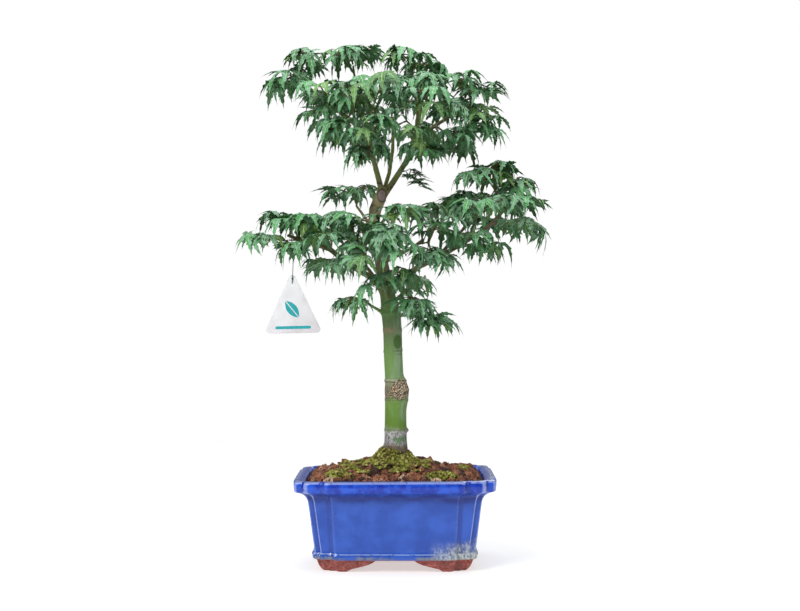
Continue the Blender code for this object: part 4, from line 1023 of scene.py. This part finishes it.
def add_lobe(foliage, hub, hub_ends, sides, tip, up, teeth, fold, chance):
    """One lobe from the hub out to its tip. `sides` holds the notch points on its right and left."""
    reach = tip - hub
    length = reach.length
    flat = (reach - up * reach.dot(up)).normalized()
    arch = hub + flat * (0.50 * length) + up * (chance.uniform(0.02, 0.14) * length)
    drop = (tip - arch).normalized() + Vector((0, 0, chance.uniform(-0.6, 0.1)))
    end = tip + drop.normalized() * (chance.uniform(0.10, 0.20) * length)
    curl = flat.cross(up) * (chance.uniform(-0.12, 0.12) * length)
    width = chance.uniform(0.150, 0.184) * length
    twist = chance.uniform(-0.4, 0.4)

    def section(t):
        centre = hub.lerp(arch, t).lerp(arch.lerp(end, t), t) + curl * (t * t)
        along = ((arch - hub).lerp(end - arch, t) + curl * t).normalized()
        right = Matrix.Rotation(twist * t, 3, along) @ along.cross(up)
        right.normalize()
        return centre, along, right, right.cross(along)

    stations = [(0.2, 1.0, 0.0)]
    pitch = 0.66 / teeth
    for tooth in range(teeth):
        start = 0.20 + pitch * (tooth + 0.55)
        stations += [(start, 1.16, 0.22 * pitch), (start + 0.42 * pitch, 0.72, 0.0)]
    first = stations[0][0]
    notches = [(sides[0], (1, first)), (sides[1], (0, first))]
    previous = [*notches, *((end, (0.5, 0)) for end in hub_ends)]
    for t, swell, forward in stations:
        centre, along, right, normal = section(t)
        half = width * float(np.interp(t, *zip(*LOBE_PROFILE))) * swell
        middle = foliage.point(centre)
        beneath = foliage.point(centre - normal * (BLADE * (1.15 - t)))
        edges = notches
        if t > first:
            edges = []
            for side in (1, -1):
                lift = fold + chance.uniform(-0.12, 0.12)
                out = (right * (side * math.cos(lift)) + normal * math.sin(lift)) * half
                place = centre + out * chance.uniform(0.9, 1.1) + along * (forward * length)
                edges.append((foliage.point(place), (0.5 + 0.5 * side, t)))
        current = [*edges, (middle, (0.5, t)), (beneath, (0.5, t))]
        add_strip(foliage, previous, current)
        previous = current
    add_strip(foliage, previous, [(foliage.point(section(1.0)[0]), (0.5, 1))] * 4)


def add_stalk(foliage, start, end, up, thick, thin):
    """Slender leaf stalk that leaves the twig at `start` and bows up to the leaf."""
    bow = start.lerp(end, 0.55) + up * (0.10 * (end - start).length)
    rings = []
    for step in range(5):
        t = step / 4
        centre = start.lerp(bow, t).lerp(bow.lerp(end, t), t)
        along = (bow - start).lerp(end - bow, t).normalized()
        right = along.orthogonal().normalized()
        if rings:
            right = (last_right - along * last_right.dot(along)).normalized()
        last_right = right
        radius = thick + (thin - thick) * t
        if step == 0:
            radius *= 1.35
        other = along.cross(right)
        rings.append([foliage.point(centre + radius * (math.cos(a) * right + math.sin(a) * other))
                      for a in (2 * math.pi * k / 5 for k in range(5))])
    for low, high in zip(rings, rings[1:]):
        for k in range(5):
            n = (k + 1) % 5
            foliage.face((low[k], low[n], high[n], high[k]), [(0, 0)] * 4, 0.0, 1)
    foliage.face(tuple(reversed(rings[0])), [(0, 0)] * 5, 0.0, 1)
    foliage.face(tuple(rings[-1]), [(0, 0)] * 5, 0.0, 1)


def add_leaf(foliage, joint, hub, up, tips, teeth, chance):
    """A leaf on its stalk. `tips` are its main lobes' tips, from its right side round to its left."""
    add_stalk(foliage, joint, hub - up * (0.5 * BLADE), up, 0.52 * MM, 0.40 * MM)
    flats = [((tip - hub) - up * (tip - hub).dot(up)).normalized() for tip in tips]
    reach = max((tip - hub).length for tip in tips)
    heading = flats[len(flats) // 2]
    basal = []
    for side in (-1, 1):
        angle = side * math.radians(chance.uniform(138, 152))
        flat = Matrix.Rotation(angle, 3, up) @ heading
        basal.append((hub + (flat * 0.95 - up * 0.3) * (reach * chance.uniform(0.34, 0.46)), flat))
    lobes = [basal[0][0], *tips, basal[1][0]]
    flats = [basal[0][1], *flats, basal[1][1]]
    top, bottom = foliage.point(hub + up * (0.4 * BLADE)), foliage.point(hub - up * (0.6 * BLADE))
    notches = []
    for index in range(len(lobes) + 1):
        if index in (0, len(lobes)):
            outward = math.radians(16 if index else -16)
            flat = Matrix.Rotation(outward, 3, up) @ flats[-1 if index else 0]
            distance = 0.07 * reach
        else:
            flat = (flats[index - 1] + flats[index]).normalized()
            near = min((lobes[index - 1] - hub).length, (lobes[index] - hub).length)
            distance = chance.uniform(0.17, 0.22) * (0.5 * near + 0.5 * reach)
        notches.append(foliage.point(hub + flat * distance + up * (0.10 * distance)))
    fold = math.radians(chance.uniform(-6, 24))
    for index, tip in enumerate(lobes):
        count = 2 if index in (0, len(lobes) - 1) else teeth
        add_lobe(foliage, hub, (top, bottom), notches[index:index + 2], tip, up, count, fold, chance)
    foliage.face((notches[0], top, bottom), [(0.5, 0)] * 3, 1.0)
    foliage.face((top, notches[-1], bottom), [(0.5, 0)] * 3, 1.0)


def read_leaves(node):
    """Leaves of a spray's CAD solid, and the twig that is left without them.

    Each leaf is where it joins the twig, its hub, its up and its five lobe tips.

    A leaf there is two low cones over one outline, so its hubs are two well-joined points 1 mm apart.
    """
    work = bmesh.new()
    work.from_mesh(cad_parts[node].data)
    bmesh.ops.remove_doubles(work, verts=work.verts, dist=1e-6)
    work.verts.index_update()
    hubs = [vertex for vertex in work.verts if len(vertex.link_edges) >= 9]
    leaves, used = [], set()
    for hub in hubs:
        for partner in hubs:
            if partner.index <= hub.index or (partner.co - hub.co).length > 1.3 * MM or {hub, partner} & used:
                continue
            around = [{edge.other_vert(end) for edge in end.link_edges} for end in (hub, partner)]
            shared = around[0] & around[1]
            base = 0.5 * (hub.co + partner.co)
            tips = [vertex for vertex in shared if (vertex.co - base).length > 12.3 * MM
                    and all(edge.other_vert(vertex) in shared | {hub, partner} for edge in vertex.link_edges)]
            if len(tips) < 4:
                continue
            used |= {hub, partner}
            up = (hub.co - partner.co).normalized()
            up = up if up.z > 0 else -up
            stalk = [vertex.co for vertex in (around[0] | around[1]) - set(tips)
                     if (vertex.co - base).length > 6.9 * MM]
            heels = sorted((vertex.co for vertex in shared), key=lambda place: (place - base).length)[:2]
            back = 0.5 * (heels[0] + heels[1]) - base
            joint = sum(stalk, Vector()) / len(stalk) if stalk else base + back.normalized() * (9 * MM)
            ahead = -(back - up * back.dot(up)).normalized()

            def bearing(place):
                flat = place - base
                return math.atan2(up.dot(ahead.cross(flat)), ahead.dot(flat))

            places = sorted((vertex.co.copy() for vertex in tips), key=bearing)
            leaves.append((joint, base, up, places))
    bmesh.ops.delete(work, geom=[face for face in work.faces if used & set(face.verts)], context="FACES")
    bmesh.ops.holes_fill(work, edges=[edge for edge in work.edges if len(edge.link_faces) == 1], sides=0)
    bmesh.ops.delete(work, geom=[vertex for vertex in work.verts if not vertex.link_faces], context="VERTS")
    twig_mesh = bpy.data.meshes.new("twig")
    work.to_mesh(twig_mesh)
    work.free()
    return leaves, link(bpy.data.objects.new(f"{node}_twig", twig_mesh))


def leafy_piece(name, foliage):
    """The object of a spray's blades and stalks, with what its finish reads."""
    mesh = bpy.data.meshes.new(name)
    mesh.from_pydata(foliage.points, [], foliage.faces)
    mesh.materials.append(leaf_finish)
    mesh.materials.append(twig_finish)
    mesh.polygons.foreach_set("material_index", foliage.stalky)
    mesh.uv_layers.new(name="lobes").data.foreach_set("uv", [part for uv in foliage.corners for part in uv])
    for title, domain, values in (("tint", "POINT", foliage.tint), ("age", "POINT", foliage.age),
                                  ("under", "FACE", foliage.under)):
        mesh.attributes.new(title, "FLOAT", domain).data.foreach_set("value", values)
    mesh.shade_smooth()
    mesh.set_sharp_from_angle(angle=math.radians(42))
    return link(bpy.data.objects.new(name, mesh))


for node in sorted(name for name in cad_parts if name.startswith("spray")):
    chance = random.Random(node)
    leaves, twig = read_leaves(node)
    even = twig.modifiers.new("even", "REMESH")
    even.mode, even.voxel_size = "VOXEL", 0.5 * MM
    soft = twig.modifiers.new("soft", "SMOOTH")
    soft.iterations, soft.factor = 3, 0.5
    settled(twig)
    twig.data.materials.clear()
    twig.data.materials.append(twig_finish)
    twig.data.shade_smooth()

    foliage = Foliage()
    for joint, hub, up, tips in leaves:
        foliage.leaf_tint, foliage.leaf_age = chance.random(), 1.0 if chance.random() < 0.88 else 0.6
        sag = Vector((0, 0, (1.6 + 4.5 * (hub.z < 0.236)) * MM))
        hub, tips = hub - sag, [tip - 1.3 * sag for tip in tips]
        flatter = chance.uniform(-0.1, 0.5)
        old_tips = [tip - up * ((tip - hub).dot(up) * flatter) for tip in tips]
        add_leaf(foliage, joint, hub, up, old_tips, 4, chance)
        ahead = sum((tip - hub for tip in tips), Vector()).cross(up).normalized()
        for _ in range(chance.choice((1, 2, 2, 3))):
            turn = Matrix.Rotation(math.radians(chance.choice((-1, 1)) * chance.uniform(35, 80)), 3, up)
            lean = Matrix.Rotation(math.radians(chance.uniform(-35, 35)), 3, ahead)
            size, flatter = chance.uniform(0.62, 0.95), chance.uniform(0.1, 0.9)
            shift = lean @ turn
            young_hub = joint + (shift @ (hub - joint)) * chance.uniform(0.7, 1.15)
            young_hub.z = min(young_hub.z, hub.z) + chance.uniform(-5.0, 1.5) * MM
            spread = [(tip - hub) - up * ((tip - hub).dot(up) * flatter) for tip in tips]
            young_tips = [young_hub + (shift @ reach) * size for reach in spread]
            for tip in young_tips:
                tip.z = min(tip.z, young_hub.z + 1.5 * MM)
            foliage.leaf_tint = chance.random()
            foliage.leaf_age = 0.2 if chance.random() < 0.12 else 1.0
            add_leaf(foliage, joint, young_hub, (shift @ up).normalized(), young_tips, 3, chance)
    blades = leafy_piece(f"{node}_blades", foliage)
    piece = joined(node.replace("spray", "leafy"), [blades, twig])
    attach(piece, "root")
    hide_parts(node)

# ---- shaded shoot at the fork --------------------------------------------------------------------
# A weak young shoot that sprang from the right limb just over the fork. Its leaves are small and dark.
SHOOT_LINE = [Vector(place) * MM for place in (
    (6.2, -2.0, 319.0), (11, -5, 319.5), (16, -7, 317), (20.5, -8, 314))]
foliage = Foliage()
chance = random.Random("shaded shoot")
sky = Vector((0, 0, 1))
for low, high in zip(SHOOT_LINE, SHOOT_LINE[1:]):
    add_stalk(foliage, low, high, sky, 0.65 * MM, 0.55 * MM)
foliage.leaf_tint, foliage.leaf_age = 0.0, 1.0
for joint in SHOOT_LINE[1:]:
    for bearing in (-160, -100, -40, 20, 80):
        out = Matrix.Rotation(math.radians(bearing + chance.uniform(-20, 20)), 3, "Z") @ Vector((1, 0, 0))
        hub = joint + (out * 3.0 + sky * chance.uniform(-5.0, 5.0)) * MM
        up = (sky + out * 0.5).normalized()
        tips = [hub + ((Matrix.Rotation(math.radians(spread), 3, up) @ out) * reach - sky * 0.32 * reach) * MM
                for spread, reach in ((-84, 6.0), (-42, 8.0), (0, 9.5), (42, 8.0), (84, 6.0))]
        add_leaf(foliage, joint, hub, up, tips, 3, chance)
shaded_shoot = leafy_piece("shaded_shoot", foliage)
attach(shaded_shoot, "root")
